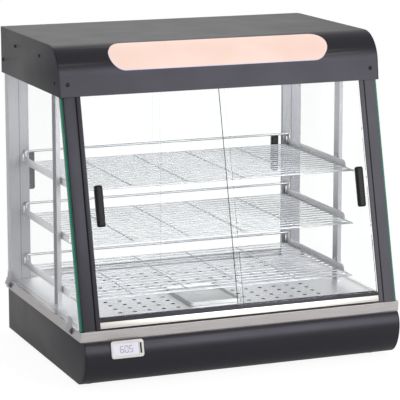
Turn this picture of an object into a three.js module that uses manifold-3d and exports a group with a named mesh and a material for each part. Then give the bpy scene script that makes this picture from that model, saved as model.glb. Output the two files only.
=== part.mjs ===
// Heated display case: a glazed cabinet with three wire shelves on a heated base,
// under a hood with a lit window. Millimetres, +Z up, the front faces -Y.
// Sizes below are given in the case's own layout: X = 0 on the middle line, Y = 0 at the
// front face of the trim band, Z = 0 at the lower edge of the base. The last lines move the
// whole case so that its origin lies on the ground, under the middle of its bounding box.
import * as THREE from 'three';
import { mergeVertices } from 'three/addons/utils/BufferGeometryUtils.js';
import Module from 'manifold-3d';

const wasm = await Module();
wasm.setup();

// Overall sizes
const WIDTH = 660;
const DEPTH = 480;
const BASE_HEIGHT = 87;
const TRIM_HEIGHT = 19;
const OPENING_HEIGHT = 426;
const HOOD_HEIGHT = 92;

// Shared stock and clearances
const SHEET = 1.5;
const SHELL = 2;
const GAP = 0.3;
const CUT = 5;
const MERGE_SHARE = 0.001;

// Base panels
const TRIM_OVERHANG = 4;
const FRONT_PROUD = 4;
const FRONT_BULGE = 13.5;
const BULGE_SHARE = 0.69;
const FRONT_TOE = 30;
const TOE_LIP = 18;
const FRONT_TOP_FLANGE = 16;
const CURVE_STEPS = 7;
const FOOT_HEIGHT = 9;
const FOOT_RADIUS = 14;
const FOOT_TAPER = 2;
const FOOT_INSET_X = 34;
const FOOT_FRONT_Y = 64;
const FOOT_REAR_INSET = 38;
const FOOT_SIDES = 14;

// Trim frame, floor plate and water pan
const TRIM_FLANGE = 16;
const TRIM_CORNER = 3;
const LEDGE_LAP = 3;
const LEDGE_WIDTH = 10;
const CORNER_STEPS = 2;
const FLOOR_FIT = 0.5;
const HOLE_DIAMETER = 6.4;
const HOLE_PITCH_X = 30;
const HOLE_PITCH_Y = 29;
const HOLE_FIRST_Y = 88;
const HOLE_REAR_MARGIN = 60;
const HOLE_SIDE_MARGIN = 100;
const HOLE_SIDES = 6;
const PAN_WIDTH = 108;
const PAN_DEPTH = 150;
const PAN_CENTRE_X = -12;
const PAN_FRONT_Y = 112;
const PAN_HEIGHT = 7.5;
const PAN_CORNER = 7;
const PAN_RIM = 4;
const PAN_FLOOR = 1.4;

// Heating and electrics inside the base
const HEATER_TUBE = 8;
const HEATER_DROP = 46.5;
const HEATER_SIDE_ROOM = 121.7;
const HEATER_BEND = 52;
const HEATER_FRONT_Y = 120;
const HEATER_SIDES = 6;
const HEATER_STEPS = 34;
const BRACKET_FLANGE = 14;
const BRACKET_FRONT_Y = 190;
const BRACKET_REAR_INSET = 92;
const CONTROL_DROP = 43;
const KNOB_TO_GLAND = 72;
const KNOB_DIAMETER = 38;
const KNOB_DEPTH = 13;
const KNOB_SKIRT = 4;
const KNOB_GRIP_WIDTH = 9;
const KNOB_SIDES = 20;
const SHAFT_DIAMETER = 6;
const SHAFT_REACH = 8;
const SHAFT_SIDES = 10;
const THERMOSTAT_WIDTH = 42;
const THERMOSTAT_HEIGHT = 34;
const THERMOSTAT_DEPTH = 30;
const BULB_DIAMETER = 6;
const BULB_LENGTH = 80;
const BULB_TO_KNOB = 130;
const BULB_SETBACK = 143.7;
const BULB_SIDES = 8;
const CAPILLARY = 2;
const CAPILLARY_STEPS = 18;
const CAPILLARY_DROP = 12;
const SWITCH_WIDTH = 15;
const SWITCH_HEIGHT = 24;
const SWITCH_BEZEL = 3;
const SWITCH_PROUD = 2.4;
const SWITCH_BODY_DEPTH = 22;
const SWITCH_WALL = 1.4;
const SWITCH_TO_KNOB = 80;
const SWITCH_PITCH = 34;
const ROCKER_TILT = 10;
const ROCKER_PROUD = 4.5;
const ROCKER_DEPTH = 5;
const GLAND_INSET = 64;
const GLAND_LEVEL = 26;
const GLAND_DIAMETER = 20;
const GLAND_BORE = 8;
const GLAND_LENGTH = 13;
const GLAND_FLANGE = 3;
const GLAND_TAPER = 4;
const GLAND_SIDES = 12;

// Panel thermometer on the base front
const METER_SIDE_GAP = 51.25;
const METER_WIDTH = 64.5;
const METER_HEIGHT = 33;
const METER_CORNER = 5;
const METER_TILT = 14;
const METER_BEZEL = 2;
const METER_RIM = 4.5;
const METER_SLOT_WIDTH = 3.6;
const METER_SLOT_INSET = 4;
const METER_BODY_DEPTH = 16;
const METER_WALL = 1.5;
const METER_FIT = 0.8;
const METER_REST = 0.4;
const METER_SCREEN_STEP = 0.9;

// Side glass and its clips
const SIDE_GLASS = 5;
const GLASS_INSET = 2;
const SIDE_GLASS_SETBACK = 6;
const CLIP_WIDTH = 22;
const CLIP_FOOT_RISE = 3;
const CLIP_RISE = 17;
const CLIP_SHEET = 1.2;
const CLIP_BULGE = 5;
const CLIP_FRONT_Y = 50;
const CLIP_REAR_INSET = 14;
const CLIP_WAIST_SHARE = 0.5;
const CLIP_BELLY_SHARE = 0.27;

// Sloping front: posts, sill, tracks and doors
const FRONT_FOOT_Y = 3;
const FRONT_HEAD_Y = 108;
const POST_WIDTH = 33.7;
const POST_DEPTH = 20;
const POST_GROOVE = 3;
const POST_GROOVE_OFFSET = 8;
const POST_GROOVE_DEPTH = 4;
const SILL_HEIGHT = 14;
const SILL_SETBACK = 1;
const TRACK_HEIGHT = 9;
const TRACK_WALL = 1.5;
const TRACK_FLOOR = 2;
const DOOR_GLASS = 4;
const DOOR_PLAY = 1.2;
const DOOR_LAP = 7.5;
const DOOR_END_GAP = 0.8;
const HANDLE_WIDTH = 18;
const HANDLE_LENGTH = 77;
const HANDLE_DEPTH = 8.5;
const HANDLE_DROP = 1.9;
const HANDLE_INSET_FRONT = 20;
const HANDLE_INSET_REAR = 27;
const HANDLE_CAPS = 2;
const HANDLE_SIDES = 8;

// Uprights
const MID_UPRIGHT_PLAY = 2.1;
const MID_UPRIGHT_FLANGE = 8.4;
const MID_UPRIGHT_SETBACK = 41;
const MID_UPRIGHT_DEPTH = 23;
const REAR_POST_WIDTH = 22;
const REAR_POST_DEPTH = 22;
const REAR_POST_SETBACK = 2;
const REAR_UPRIGHT_WIDTH = 20;
const REAR_UPRIGHT_DEPTH = 9;
const SLOT_PLACE_SHARE = 0.54;
const SLOT_PLAY = 1;

// Wire shelves
const FIRST_SHELF_RISE = 27;
const SHELF_SPACING = 107.5;
const SHELF_SETBACK = 22;
const SHELF_BACK_PLAY = 1;
const SHELF_LIFT = 7.5;
const WIRE = 3;
const WIRE_COUNT = 16;
const EDGE_WIRE_GAP = 5;
const CROSS_WIRES = 4;
const PLATE_SHEET = 2;
const PLATE_BELOW = 2;
const PLATE_ABOVE = 13;
const PLATE_SETBACK = 38;
const PLATE_NOSE = 12;
const BACK_ROD = 5;
const BACK_ROD_RISE = 24;
const BACK_ROD_INSET = 5;
const EAR_WIDTH = 12;
const LUG_HEIGHT = 6;
const LUG_WIDTH = 3;
const LUG_REACH = 3.4;
const LUG_RISE = 4;

// Hood
const HOOD_OVERHANG = 0.5;
const HOOD_FRONT_PROUD = 2.5;
const HOOD_FRONT_TILT = 7;
const HOOD_BEND = 62;
const HOOD_REAR_OVERHANG = 10;
const HOOD_SIDE_STEP = 8;
const HOOD_DROP = 14;
const BEND_STEPS = 8;
const CEILING_RISE = 13;
const CEILING_SETBACK = 6.5;
const HEADER_INSET = 3.5;
const WINDOW_SIDE_MARGIN = 102.2;
const WINDOW_LOW_ANGLE = 13;
const WINDOW_HIGH_ANGLE = 73;
const WINDOW_END_STEPS = 4;
const WINDOW_SHEET = 3;
const WINDOW_FLANGE = 2;
const WINDOW_PROUD = 0.8;
const WINDOW_LAP = 8;
const REFLECTOR_SETBACK = 3.6;
const REFLECTOR_HEADROOM = 18;
const REFLECTOR_FLANGE = 16;
const REFLECTOR_LAP = 9;
const LED_STRIP_WIDTH = 14;
const LED_SIZE = 5;
const LED_HEIGHT = 1.6;
const LED_COUNT = 10;
const DRIVER_WIDTH = 120;
const DRIVER_DEPTH = 44;
const DRIVER_HEIGHT = 26;
const DRIVER_REAR_ROOM = 104.5;
const SCREW_RADIUS = 4;
const SCREW_HEIGHT = 2.2;
const SCREW_SIDES = 8;
const SCREW_STEPS = 2;
const SIDE_SCREW_SHARES = [[0.081, 0.25], [0.968, 0.293], [0.742, 0.696], [0.325, 0.696]];
const FRONT_SCREW_INSET = 15.2;
const FRONT_SCREW_RISE = 23;

// Levels and places that follow from the sizes
const FLOOR_TOP = BASE_HEIGHT + TRIM_HEIGHT;
const HOOD_BOTTOM = FLOOR_TOP + OPENING_HEIGHT;
const HOOD_TOP = HOOD_BOTTOM + HOOD_HEIGHT;
const CEILING_LEVEL = HOOD_BOTTOM + CEILING_RISE;
const BULGE_HEIGHT = BASE_HEIGHT * BULGE_SHARE;
const BASE_HALF = WIDTH / 2 - TRIM_OVERHANG;
const BASE_REAR_Y = DEPTH - TRIM_OVERHANG;
const BASE_TOP = BASE_HEIGHT - GAP;
const INNER_HALF = BASE_HALF - SHELL - GAP;
const REAR_INNER_Y = BASE_REAR_Y - SHELL;
const FLANGE_BOTTOM = FLOOR_TOP - SHEET;
const HEATER_LEVEL = FLANGE_BOTTOM - HEATER_DROP;
const HEATER_CENTRE_X = INNER_HALF - HEATER_SIDE_ROOM - HEATER_BEND;
const HEATER_REAR_Y = REAR_INNER_Y - THERMOSTAT_DEPTH - SHELL;
const BRACKET_REAR_Y = HEATER_REAR_Y - BRACKET_REAR_INSET;
const CONTROL_LEVEL = BASE_HEIGHT - CONTROL_DROP;
const GLAND_X = BASE_HALF - GLAND_INSET;
const KNOB_X = GLAND_X - KNOB_TO_GLAND;
const POWER_SWITCH_X = KNOB_X - SWITCH_TO_KNOB;
const LIGHT_SWITCH_X = POWER_SWITCH_X - SWITCH_PITCH;
const METER_X = METER_SIDE_GAP + METER_WIDTH / 2 - BASE_HALF;
const METER_LEVEL = BASE_HEIGHT - METER_HEIGHT / 2;
const METER_BODY_INSET = METER_RIM - METER_WALL;
const CLIP_BOTTOM = BASE_HEIGHT + CLIP_FOOT_RISE;
const CLIP_TOP = FLOOR_TOP + CLIP_RISE;
const CLIP_REAR_Y = DEPTH - CLIP_REAR_INSET - CLIP_WIDTH;
const GLASS_OUTER = WIDTH / 2 - GLASS_INSET;
const GLASS_INNER = GLASS_OUTER - SIDE_GLASS;
const POST_OUTER = GLASS_INNER - GAP;
const POST_INNER = POST_OUTER - POST_WIDTH;
const REAR_POST_Y = DEPTH - REAR_POST_SETBACK - REAR_POST_DEPTH;
const REAR_POST_NEAR = POST_OUTER - REAR_POST_WIDTH;
const REAR_FLANGE_NEAR = REAR_POST_NEAR - REAR_UPRIGHT_WIDTH;
const SHELF_BOTTOM = FLOOR_TOP + FIRST_SHELF_RISE;
const SHELF_HALF = REAR_FLANGE_NEAR + REAR_UPRIGHT_WIDTH * SLOT_PLACE_SHARE;
const SHELF_FRONT_Y = FRONT_HEAD_Y + SHELF_SETBACK;
const SHELF_REAR_Y = REAR_POST_Y - SHELF_BACK_PLAY;
const PLATE_FRONT_Y = SHELF_FRONT_Y + PLATE_SETBACK;
const PLATE_OUTER = SHELF_HALF + PLATE_SHEET / 2;
const MID_UPRIGHT_X = PLATE_OUTER + MID_UPRIGHT_PLAY;
const MID_UPRIGHT_Y = PLATE_FRONT_Y + MID_UPRIGHT_SETBACK;
const SLOT_HEIGHT = LUG_HEIGHT + SHELF_LIFT + 2 * GAP;
const SLOT_WIDTH = LUG_WIDTH + 2 * SLOT_PLAY;
const HOOD_HALF = WIDTH / 2 + HOOD_OVERHANG;
const COVER_HALF = HOOD_HALF - SHELL - GAP;
const HOOD_FRONT_Y = FRONT_HEAD_Y - HOOD_FRONT_PROUD;
const HOOD_REAR_Y = DEPTH + HOOD_REAR_OVERHANG;
const HOOD_SIDE_REAR_Y = HOOD_REAR_Y - HOOD_SIDE_STEP;
const CEILING_FRONT_Y = HOOD_FRONT_Y + CEILING_SETBACK;
const WINDOW_WIDTH = 2 * (COVER_HALF - WINDOW_SIDE_MARGIN);

// Finishes
const finish = (color, roughness, metalness) =>
  new THREE.MeshStandardMaterial({ color, roughness, metalness });
const BLACK_PAINT = finish(0x2b2b2e, 0.42, 0.1);
const STEEL = finish(0xb4b0ae, 0.32, 0.9);
const POLISHED = finish(0xe8e6e3, 0.12, 1);
const ALUMINIUM = finish(0x9c9c9e, 0.45, 0.8);
const CHROME = finish(0xd2d4d6, 0.12, 1);
const BLACK_TRACK = finish(0x26262a, 0.5, 0.2);
const BLACK_PLASTIC = finish(0x17171a, 0.4, 0);
const RUBBER = finish(0x141414, 0.85, 0);
const CASE_GLASS = finish(0xbfe0d2, 0.05, 0);
const HEATER_STEEL = finish(0x6f6a66, 0.5, 0.8);
const WHITE_ENAMEL = finish(0xf2f0ec, 0.35, 0);
const LIGHT_DIFFUSER = finish(0xfddfd3, 0.3, 0);
const BEZEL_PLASTIC = finish(0xd9d9d6, 0.35, 0.2);
const SCREEN_PLASTIC = finish(0xdcdbe6, 0.2, 0);
const RED_LENS = finish(0xb3261c, 0.25, 0);
const COPPER = finish(0xb0714a, 0.35, 0.9);

// Geometry helpers
const solidOf = (geometry) => {
  const bare = geometry.index ? geometry.toNonIndexed() : geometry.clone();
  bare.deleteAttribute('normal');
  bare.deleteAttribute('uv');
  const merged = mergeVertices(bare, GAP * MERGE_SHARE);
  return new wasm.Manifold(new wasm.Mesh({
    numProp: 3,
    vertProperties: new Float32Array(merged.attributes.position.array),
    triVerts: new Uint32Array(merged.index.array),
  }));
};

const geometryOf = (solid) => {
  const mesh = solid.getMesh();
  const geometry = new THREE.BufferGeometry();
  const stride = mesh.numProp;
  const points = new Float32Array(3 * mesh.vertProperties.length / stride);
  for (let i = 0; i < points.length / 3; i += 1) {
    points.set(mesh.vertProperties.slice(i * stride, i * stride + 3), 3 * i);
  }
  geometry.setAttribute('position', new THREE.BufferAttribute(points, 3));
  geometry.setIndex(new THREE.BufferAttribute(new Uint32Array(mesh.triVerts), 1));
  geometry.computeVertexNormals();
  return geometry;
};

const join = (first, ...others) =>
  geometryOf(others.reduce((sum, other) => sum.add(solidOf(other)), solidOf(first)));
const cut = (first, ...others) =>
  geometryOf(others.reduce((rest, other) => rest.subtract(solidOf(other)), solidOf(first)));
const common = (first, second) => geometryOf(solidOf(first).intersect(solidOf(second)));

const box = (x0, x1, y0, y1, z0, z1) => {
  const block = new THREE.BoxGeometry(x1 - x0, y1 - y0, z1 - z0);
  return block.translate((x0 + x1) / 2, (y0 + y1) / 2, (z0 + z1) / 2);
};

const outline = (points) => new THREE.Shape(points.map(([a, b]) => new THREE.Vector2(a, b)));

const extrude = (shape, length, steps = 1) =>
  new THREE.ExtrudeGeometry(shape, { depth: length, bevelEnabled: false, curveSegments: steps });

// An outline in Y and Z, extruded along X.
const AXIS_X = new THREE.Vector3(1, 0, 0);
const AXIS_Y = new THREE.Vector3(0, 1, 0);
const AXIS_Z = new THREE.Vector3(0, 0, 1);
const alongX = (points, x0, x1) => {
  const turn = new THREE.Matrix4().makeBasis(AXIS_Y, AXIS_Z, AXIS_X);
  return extrude(outline(points), x1 - x0).applyMatrix4(turn).translate(x0, 0, 0);
};

// An outline in X and Z, extruded along Y.
const alongY = (points, y0, y1) => {
  const turn = new THREE.Matrix4().makeBasis(AXIS_X, AXIS_Z, AXIS_Y.clone().negate());
  return extrude(outline(points), y1 - y0).applyMatrix4(turn).translate(0, y1, 0);
};

const roundedRect = (x0, x1, y0, y1, radius) => {
  const shape = new THREE.Shape();
  shape.moveTo(x0 + radius, y0);
  shape.absarc(x1 - radius, y0 + radius, radius, -Math.PI / 2, 0);
  shape.absarc(x1 - radius, y1 - radius, radius, 0, Math.PI / 2);
  shape.absarc(x0 + radius, y1 - radius, radius, Math.PI / 2, Math.PI);
  shape.absarc(x0 + radius, y0 + radius, radius, Math.PI, 3 * Math.PI / 2);
  return shape;
};

// A round bar along +Y, turned on a lathe from a profile of radius and distance.
const turnedAlongY = (profile, sides) => {
  const points = profile.map(([radius, along]) => new THREE.Vector2(radius, along));
  return new THREE.LatheGeometry(points, sides);
};

const caseGroup = new THREE.Group();
const piece = (name, geometry, material, parent = caseGroup) => {
  const mesh = new THREE.Mesh(geometry, material);
  mesh.name = name;
  parent.add(mesh);
  return mesh;
};

const SIDES = [['left', -1], ['right', 1]];
const mirrored = (side, points) => points.map(([x, other]) => [side * x, other]);
const spanX = (side, near, far) => (side < 0 ? [-far, -near] : [near, far]);
const sideBox = (side, near, far, y0, y1, z0, z1) => box(...spanX(side, near, far), y0, y1, z0, z1);

// Base: curved front cover, side panels, chassis (bottom and rear in one sheet) and feet
const CURVE_REACH = FRONT_TOE + FRONT_BULGE;
const TOP_SHARE = (FRONT_TOE + FRONT_PROUD) / CURVE_REACH;
const UPPER_RISE = (BASE_TOP - BULGE_HEIGHT) / Math.sqrt(1 - TOP_SHARE * TOP_SHARE);

const frontCurve = (inset) => {
  const reach = CURVE_REACH - inset;
  const upperTop = BASE_TOP - inset;
  const points = [];
  const upperEnd = Math.asin((upperTop - BULGE_HEIGHT) / (UPPER_RISE - inset));
  for (let i = 0; i < CURVE_STEPS; i += 1) {
    const angle = upperEnd * (1 - i / CURVE_STEPS);
    points.push([FRONT_TOE - reach * Math.cos(angle),
      BULGE_HEIGHT + (UPPER_RISE - inset) * Math.sin(angle)]);
  }
  for (let i = 0; i <= CURVE_STEPS; i += 1) {
    const angle = Math.PI / 2 * i / CURVE_STEPS;
    points.push([FRONT_TOE - reach * Math.cos(angle),
      BULGE_HEIGHT - (BULGE_HEIGHT - inset) * Math.sin(angle)]);
  }
  return points;
};

const frontCover = () => {
  const outer = frontCurve(0);
  const inner = frontCurve(SHELL).reverse();
  const lipEnd = FRONT_TOE + TOE_LIP;
  return alongX([...outer, [lipEnd, 0], [lipEnd, SHELL], ...inner,
    [FRONT_TOP_FLANGE, BASE_TOP - SHELL], [FRONT_TOP_FLANGE, BASE_TOP]], -INNER_HALF, INNER_HALF);
};

// Y of the cover's outer face at a height above the bulge
const coverY = (z) => {
  const share = (z - BULGE_HEIGHT) / UPPER_RISE;
  return FRONT_TOE - CURVE_REACH * Math.sqrt(1 - share * share);
};
const METER_Y = coverY(METER_LEVEL) - METER_REST;
const METER_ANGLE = THREE.MathUtils.degToRad(METER_TILT);
const meterWindow = () => {
  const halfWidth = METER_WIDTH / 2 - METER_BODY_INSET + METER_FIT;
  const halfHeight = METER_HEIGHT / 2 - METER_BODY_INSET + METER_FIT;
  const opening = box(-halfWidth, halfWidth, -METER_BODY_DEPTH, METER_BODY_DEPTH,
    -halfHeight, halfHeight);
  return opening.rotateX(-METER_ANGLE).translate(METER_X, METER_Y, METER_LEVEL);
};
piece('base_front_cover', cut(frontCover(), meterWindow()), BLACK_PAINT);

for (const [name, side] of SIDES) {
  const profile = [...frontCurve(0), [BASE_REAR_Y, 0], [BASE_REAR_Y, BASE_TOP]];
  const panel = alongX(profile, ...spanX(side, BASE_HALF - SHELL, BASE_HALF));
  piece(`base_side_${name}`, panel, BLACK_PAINT);
}

const roundHole = (x, z, diameter, sides) => {
  const drill = new THREE.CylinderGeometry(diameter / 2, diameter / 2, SHELL + 2 * CUT, sides);
  return drill.translate(x, BASE_REAR_Y - SHELL / 2, z);
};
const switchHole = (x) => box(x - SWITCH_WIDTH / 2 - GAP, x + SWITCH_WIDTH / 2 + GAP,
  REAR_INNER_Y - CUT, BASE_REAR_Y + CUT,
  CONTROL_LEVEL - SWITCH_HEIGHT / 2 - GAP, CONTROL_LEVEL + SWITCH_HEIGHT / 2 + GAP);
const GLAND_THROAT = GLAND_DIAMETER - GLAND_TAPER;
piece('base_chassis', cut(
  join(box(-INNER_HALF, INNER_HALF, REAR_INNER_Y, BASE_REAR_Y, 0, BASE_TOP),
    box(-INNER_HALF, INNER_HALF, FRONT_TOE + TOE_LIP + GAP, BASE_REAR_Y, 0, SHELL)),
  switchHole(POWER_SWITCH_X), switchHole(LIGHT_SWITCH_X),
  roundHole(KNOB_X, CONTROL_LEVEL, SHAFT_DIAMETER + 2 * GAP, SHAFT_SIDES),
  roundHole(GLAND_X, GLAND_LEVEL, GLAND_THROAT + 2 * GAP, GLAND_SIDES),
), BLACK_PAINT);

const footAt = (x, y) => {
  const profile = [[0, 0], [FOOT_RADIUS - FOOT_TAPER, 0], [FOOT_RADIUS, FOOT_HEIGHT], [0, FOOT_HEIGHT]];
  const points = profile.map(([radius, height]) => new THREE.Vector2(radius, height));
  const foot = new THREE.LatheGeometry(points, FOOT_SIDES).rotateX(Math.PI / 2);
  return foot.translate(x, y, -FOOT_HEIGHT);
};
const FOOT_X = WIDTH / 2 - FOOT_INSET_X;
const FOOT_REAR_Y = BASE_REAR_Y - FOOT_REAR_INSET;
for (const [name, side] of SIDES) {
  piece(`foot_front_${name}`, footAt(side * FOOT_X, FOOT_FRONT_Y), RUBBER);
  piece(`foot_rear_${name}`, footAt(side * FOOT_X, FOOT_REAR_Y), RUBBER);
}

// Trim frame with the ledge that carries the floor plate
const ringAt = (outerInset, innerInset, z0, z1, corner) => {
  const ring = roundedRect(-WIDTH / 2 + outerInset, WIDTH / 2 - outerInset,
    outerInset, DEPTH - outerInset, corner);
  ring.holes.push(roundedRect(-WIDTH / 2 + innerInset, WIDTH / 2 - innerInset,
    innerInset, DEPTH - innerInset, corner));
  return extrude(ring, z1 - z0, CORNER_STEPS).translate(0, 0, z0);
};
piece('trim_frame', join(
  ringAt(0, SHEET, BASE_HEIGHT, FLOOR_TOP, TRIM_CORNER),
  ringAt(0, TRIM_FLANGE, FLANGE_BOTTOM, FLOOR_TOP, TRIM_CORNER),
  ringAt(TRIM_FLANGE - LEDGE_LAP, TRIM_FLANGE + LEDGE_WIDTH, FLANGE_BOTTOM - SHEET,
    FLANGE_BOTTOM, TRIM_CORNER),
), STEEL);

// Floor plate, with its field of holes left out under the water pan
const FLOOR_HALF = WIDTH / 2 - TRIM_FLANGE - FLOOR_FIT;
const floorPlate = () => {
  const plate = roundedRect(-FLOOR_HALF, FLOOR_HALF, TRIM_FLANGE + FLOOR_FIT,
    DEPTH - TRIM_FLANGE - FLOOR_FIT, TRIM_CORNER);
  const holes = [];
  const columns = 2 * Math.floor((FLOOR_HALF - HOLE_SIDE_MARGIN) / HOLE_PITCH_X) + 1;
  const rows = Math.floor((DEPTH - HOLE_FIRST_Y - HOLE_REAR_MARGIN) / HOLE_PITCH_Y) + 1;
  const panLeft = PAN_CENTRE_X - PAN_WIDTH / 2 - HOLE_DIAMETER;
  const panRight = PAN_CENTRE_X + PAN_WIDTH / 2 + HOLE_DIAMETER;
  const panRear = PAN_FRONT_Y + PAN_DEPTH + HOLE_DIAMETER;
  for (let column = 0; column < columns; column += 1) {
    const x = (column - (columns - 1) / 2) * HOLE_PITCH_X;
    for (let row = 0; row < rows; row += 1) {
      const y = HOLE_FIRST_Y + row * HOLE_PITCH_Y;
      const underPan = x > panLeft && x < panRight && y > PAN_FRONT_Y - HOLE_DIAMETER && y < panRear;
      if (!underPan) {
        const drill = new THREE.CylinderGeometry(HOLE_DIAMETER / 2, HOLE_DIAMETER / 2,
          SHEET + 2 * CUT, HOLE_SIDES).rotateX(Math.PI / 2);
        holes.push(drill.translate(x, y, FLANGE_BOTTOM));
      }
    }
  }
  return cut(extrude(plate, SHEET, CORNER_STEPS).translate(0, 0, FLANGE_BOTTOM), ...holes);
};
piece('floor_plate', floorPlate(), STEEL);

const waterPan = () => {
  const x0 = PAN_CENTRE_X - PAN_WIDTH / 2;
  const x1 = PAN_CENTRE_X + PAN_WIDTH / 2;
  const y1 = PAN_FRONT_Y + PAN_DEPTH;
  const body = extrude(roundedRect(x0, x1, PAN_FRONT_Y, y1, PAN_CORNER), PAN_HEIGHT, CORNER_STEPS);
  const bowl = extrude(roundedRect(x0 + PAN_RIM, x1 - PAN_RIM, PAN_FRONT_Y + PAN_RIM, y1 - PAN_RIM,
    PAN_CORNER - PAN_RIM / 2), PAN_HEIGHT, CORNER_STEPS);
  return cut(body, bowl.translate(0, 0, PAN_FLOOR)).translate(0, 0, FLOOR_TOP);
};
piece('water_pan', waterPan(), STEEL);

// Tubular heaters on brackets
const ringSection = (diameter, sides) => {
  const points = [];
  for (let i = 0; i < sides; i += 1) {
    const angle = 2 * Math.PI * i / sides;
    points.push([diameter / 2 * Math.cos(angle), diameter / 2 * Math.sin(angle)]);
  }
  return outline(points);
};
const heaterPath = (centreX) => {
  const path = new THREE.CurvePath();
  const bendY = HEATER_FRONT_Y + HEATER_BEND;
  const at = (x, y) => new THREE.Vector3(centreX + x, y, HEATER_LEVEL);
  path.add(new THREE.LineCurve3(at(-HEATER_BEND, HEATER_REAR_Y), at(-HEATER_BEND, bendY)));
  const bend = new THREE.QuadraticBezierCurve3(at(-HEATER_BEND, bendY),
    at(-HEATER_BEND, HEATER_FRONT_Y), at(0, HEATER_FRONT_Y));
  const back = new THREE.QuadraticBezierCurve3(at(0, HEATER_FRONT_Y),
    at(HEATER_BEND, HEATER_FRONT_Y), at(HEATER_BEND, bendY));
  path.add(bend);
  path.add(back);
  path.add(new THREE.LineCurve3(at(HEATER_BEND, bendY), at(HEATER_BEND, HEATER_REAR_Y)));
  return path;
};
for (const [name, side] of SIDES) {
  const tube = new THREE.ExtrudeGeometry(ringSection(HEATER_TUBE, HEATER_SIDES), {
    steps: HEATER_STEPS, bevelEnabled: false, extrudePath: heaterPath(side * HEATER_CENTRE_X),
  });
  piece(`heater_${name}`, tube, HEATER_STEEL);
}
const BRACKET_TOP = HEATER_LEVEL - HEATER_TUBE / 2 - GAP;
const BRACKET_HALF = HEATER_CENTRE_X + HEATER_BEND + BRACKET_FLANGE;
const bracketBar = (y) => join(
  box(-BRACKET_HALF, BRACKET_HALF, y, y + SHEET, SHELL, BRACKET_TOP),
  box(-BRACKET_HALF, BRACKET_HALF, y, y + BRACKET_FLANGE, SHELL, SHELL + SHEET),
);
piece('heater_bracket', join(
  bracketBar(BRACKET_FRONT_Y), bracketBar(BRACKET_REAR_Y),
  box(-BRACKET_FLANGE, BRACKET_FLANGE, BRACKET_FRONT_Y, BRACKET_REAR_Y, SHELL, SHELL + SHEET),
), STEEL);

// Thermostat behind the rear panel, its sensing bulb, and the knob
const THERMOSTAT_FRONT_Y = REAR_INNER_Y - GAP - THERMOSTAT_DEPTH;
const shaft = () => turnedAlongY([[0, THERMOSTAT_FRONT_Y + SHELL],
  [SHAFT_DIAMETER / 2, THERMOSTAT_FRONT_Y + SHELL],
  [SHAFT_DIAMETER / 2, BASE_REAR_Y + SHAFT_REACH], [0, BASE_REAR_Y + SHAFT_REACH]], SHAFT_SIDES);
piece('thermostat_body', join(
  box(KNOB_X - THERMOSTAT_WIDTH / 2, KNOB_X + THERMOSTAT_WIDTH / 2,
    THERMOSTAT_FRONT_Y, REAR_INNER_Y - GAP,
    CONTROL_LEVEL - THERMOSTAT_HEIGHT / 2, CONTROL_LEVEL + THERMOSTAT_HEIGHT / 2),
  shaft().translate(KNOB_X, 0, CONTROL_LEVEL),
), ALUMINIUM);

const sensingBulb = () => {
  const start = new THREE.Vector3(KNOB_X, THERMOSTAT_FRONT_Y - GAP, CONTROL_LEVEL);
  const bulbEnd = new THREE.Vector3(KNOB_X - BULB_TO_KNOB, THERMOSTAT_FRONT_Y - BULB_SETBACK,
    FLANGE_BOTTOM - BULB_DIAMETER / 2 - GAP);
  const leave = start.clone().add(new THREE.Vector3(0, -BULB_LENGTH / 2, 0));
  const arrive = bulbEnd.clone().add(new THREE.Vector3(0, BULB_LENGTH / 2, -CAPILLARY_DROP));
  const route = new THREE.CatmullRomCurve3([start, leave, arrive, bulbEnd]);
  const tube = new THREE.ExtrudeGeometry(ringSection(CAPILLARY, HEATER_SIDES), {
    steps: CAPILLARY_STEPS, bevelEnabled: false, extrudePath: route,
  });
  const bulb = turnedAlongY([[0, -BULB_LENGTH], [BULB_DIAMETER / 2, -BULB_LENGTH],
    [BULB_DIAMETER / 2, 0], [0, 0]], BULB_SIDES);
  return join(tube, bulb.translate(bulbEnd.x, bulbEnd.y + CAPILLARY, bulbEnd.z));
};
piece('thermostat_bulb', sensingBulb(), COPPER);

const knob = () => {
  const radius = KNOB_DIAMETER / 2;
  const disc = turnedAlongY([[0, 0], [radius, 0], [radius, KNOB_SKIRT],
    [radius - KNOB_SKIRT, KNOB_SKIRT + GAP], [radius - KNOB_SKIRT, KNOB_SKIRT * 2],
    [0, KNOB_SKIRT * 2]], KNOB_SIDES);
  const grip = box(-KNOB_GRIP_WIDTH / 2, KNOB_GRIP_WIDTH / 2, KNOB_SKIRT, KNOB_DEPTH,
    -radius + KNOB_SKIRT, radius - KNOB_SKIRT);
  const socketRadius = SHAFT_DIAMETER / 2 + GAP;
  const socket = turnedAlongY([[0, -CUT], [socketRadius, -CUT], [socketRadius, SHAFT_REACH],
    [0, SHAFT_REACH]], SHAFT_SIDES);
  return cut(join(disc, grip), socket).translate(KNOB_X, BASE_REAR_Y + GAP, CONTROL_LEVEL);
};
piece('thermostat_knob', knob(), BLACK_PLASTIC);

// Switches and cable gland on the rear panel
const switchBody = (x) => {
  const halfWidth = SWITCH_WIDTH / 2;
  const halfHeight = SWITCH_HEIGHT / 2;
  const flange = box(x - halfWidth - SWITCH_BEZEL, x + halfWidth + SWITCH_BEZEL,
    BASE_REAR_Y, BASE_REAR_Y + SWITCH_PROUD,
    CONTROL_LEVEL - halfHeight - SWITCH_BEZEL, CONTROL_LEVEL + halfHeight + SWITCH_BEZEL);
  const body = box(x - halfWidth, x + halfWidth, BASE_REAR_Y - SWITCH_BODY_DEPTH, BASE_REAR_Y,
    CONTROL_LEVEL - halfHeight, CONTROL_LEVEL + halfHeight);
  const well = box(x - halfWidth + SWITCH_WALL, x + halfWidth - SWITCH_WALL,
    BASE_REAR_Y - SWITCH_HEIGHT / 2, BASE_REAR_Y + CUT,
    CONTROL_LEVEL - halfHeight + SWITCH_WALL, CONTROL_LEVEL + halfHeight - SWITCH_WALL);
  return cut(join(flange, body), well);
};
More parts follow.
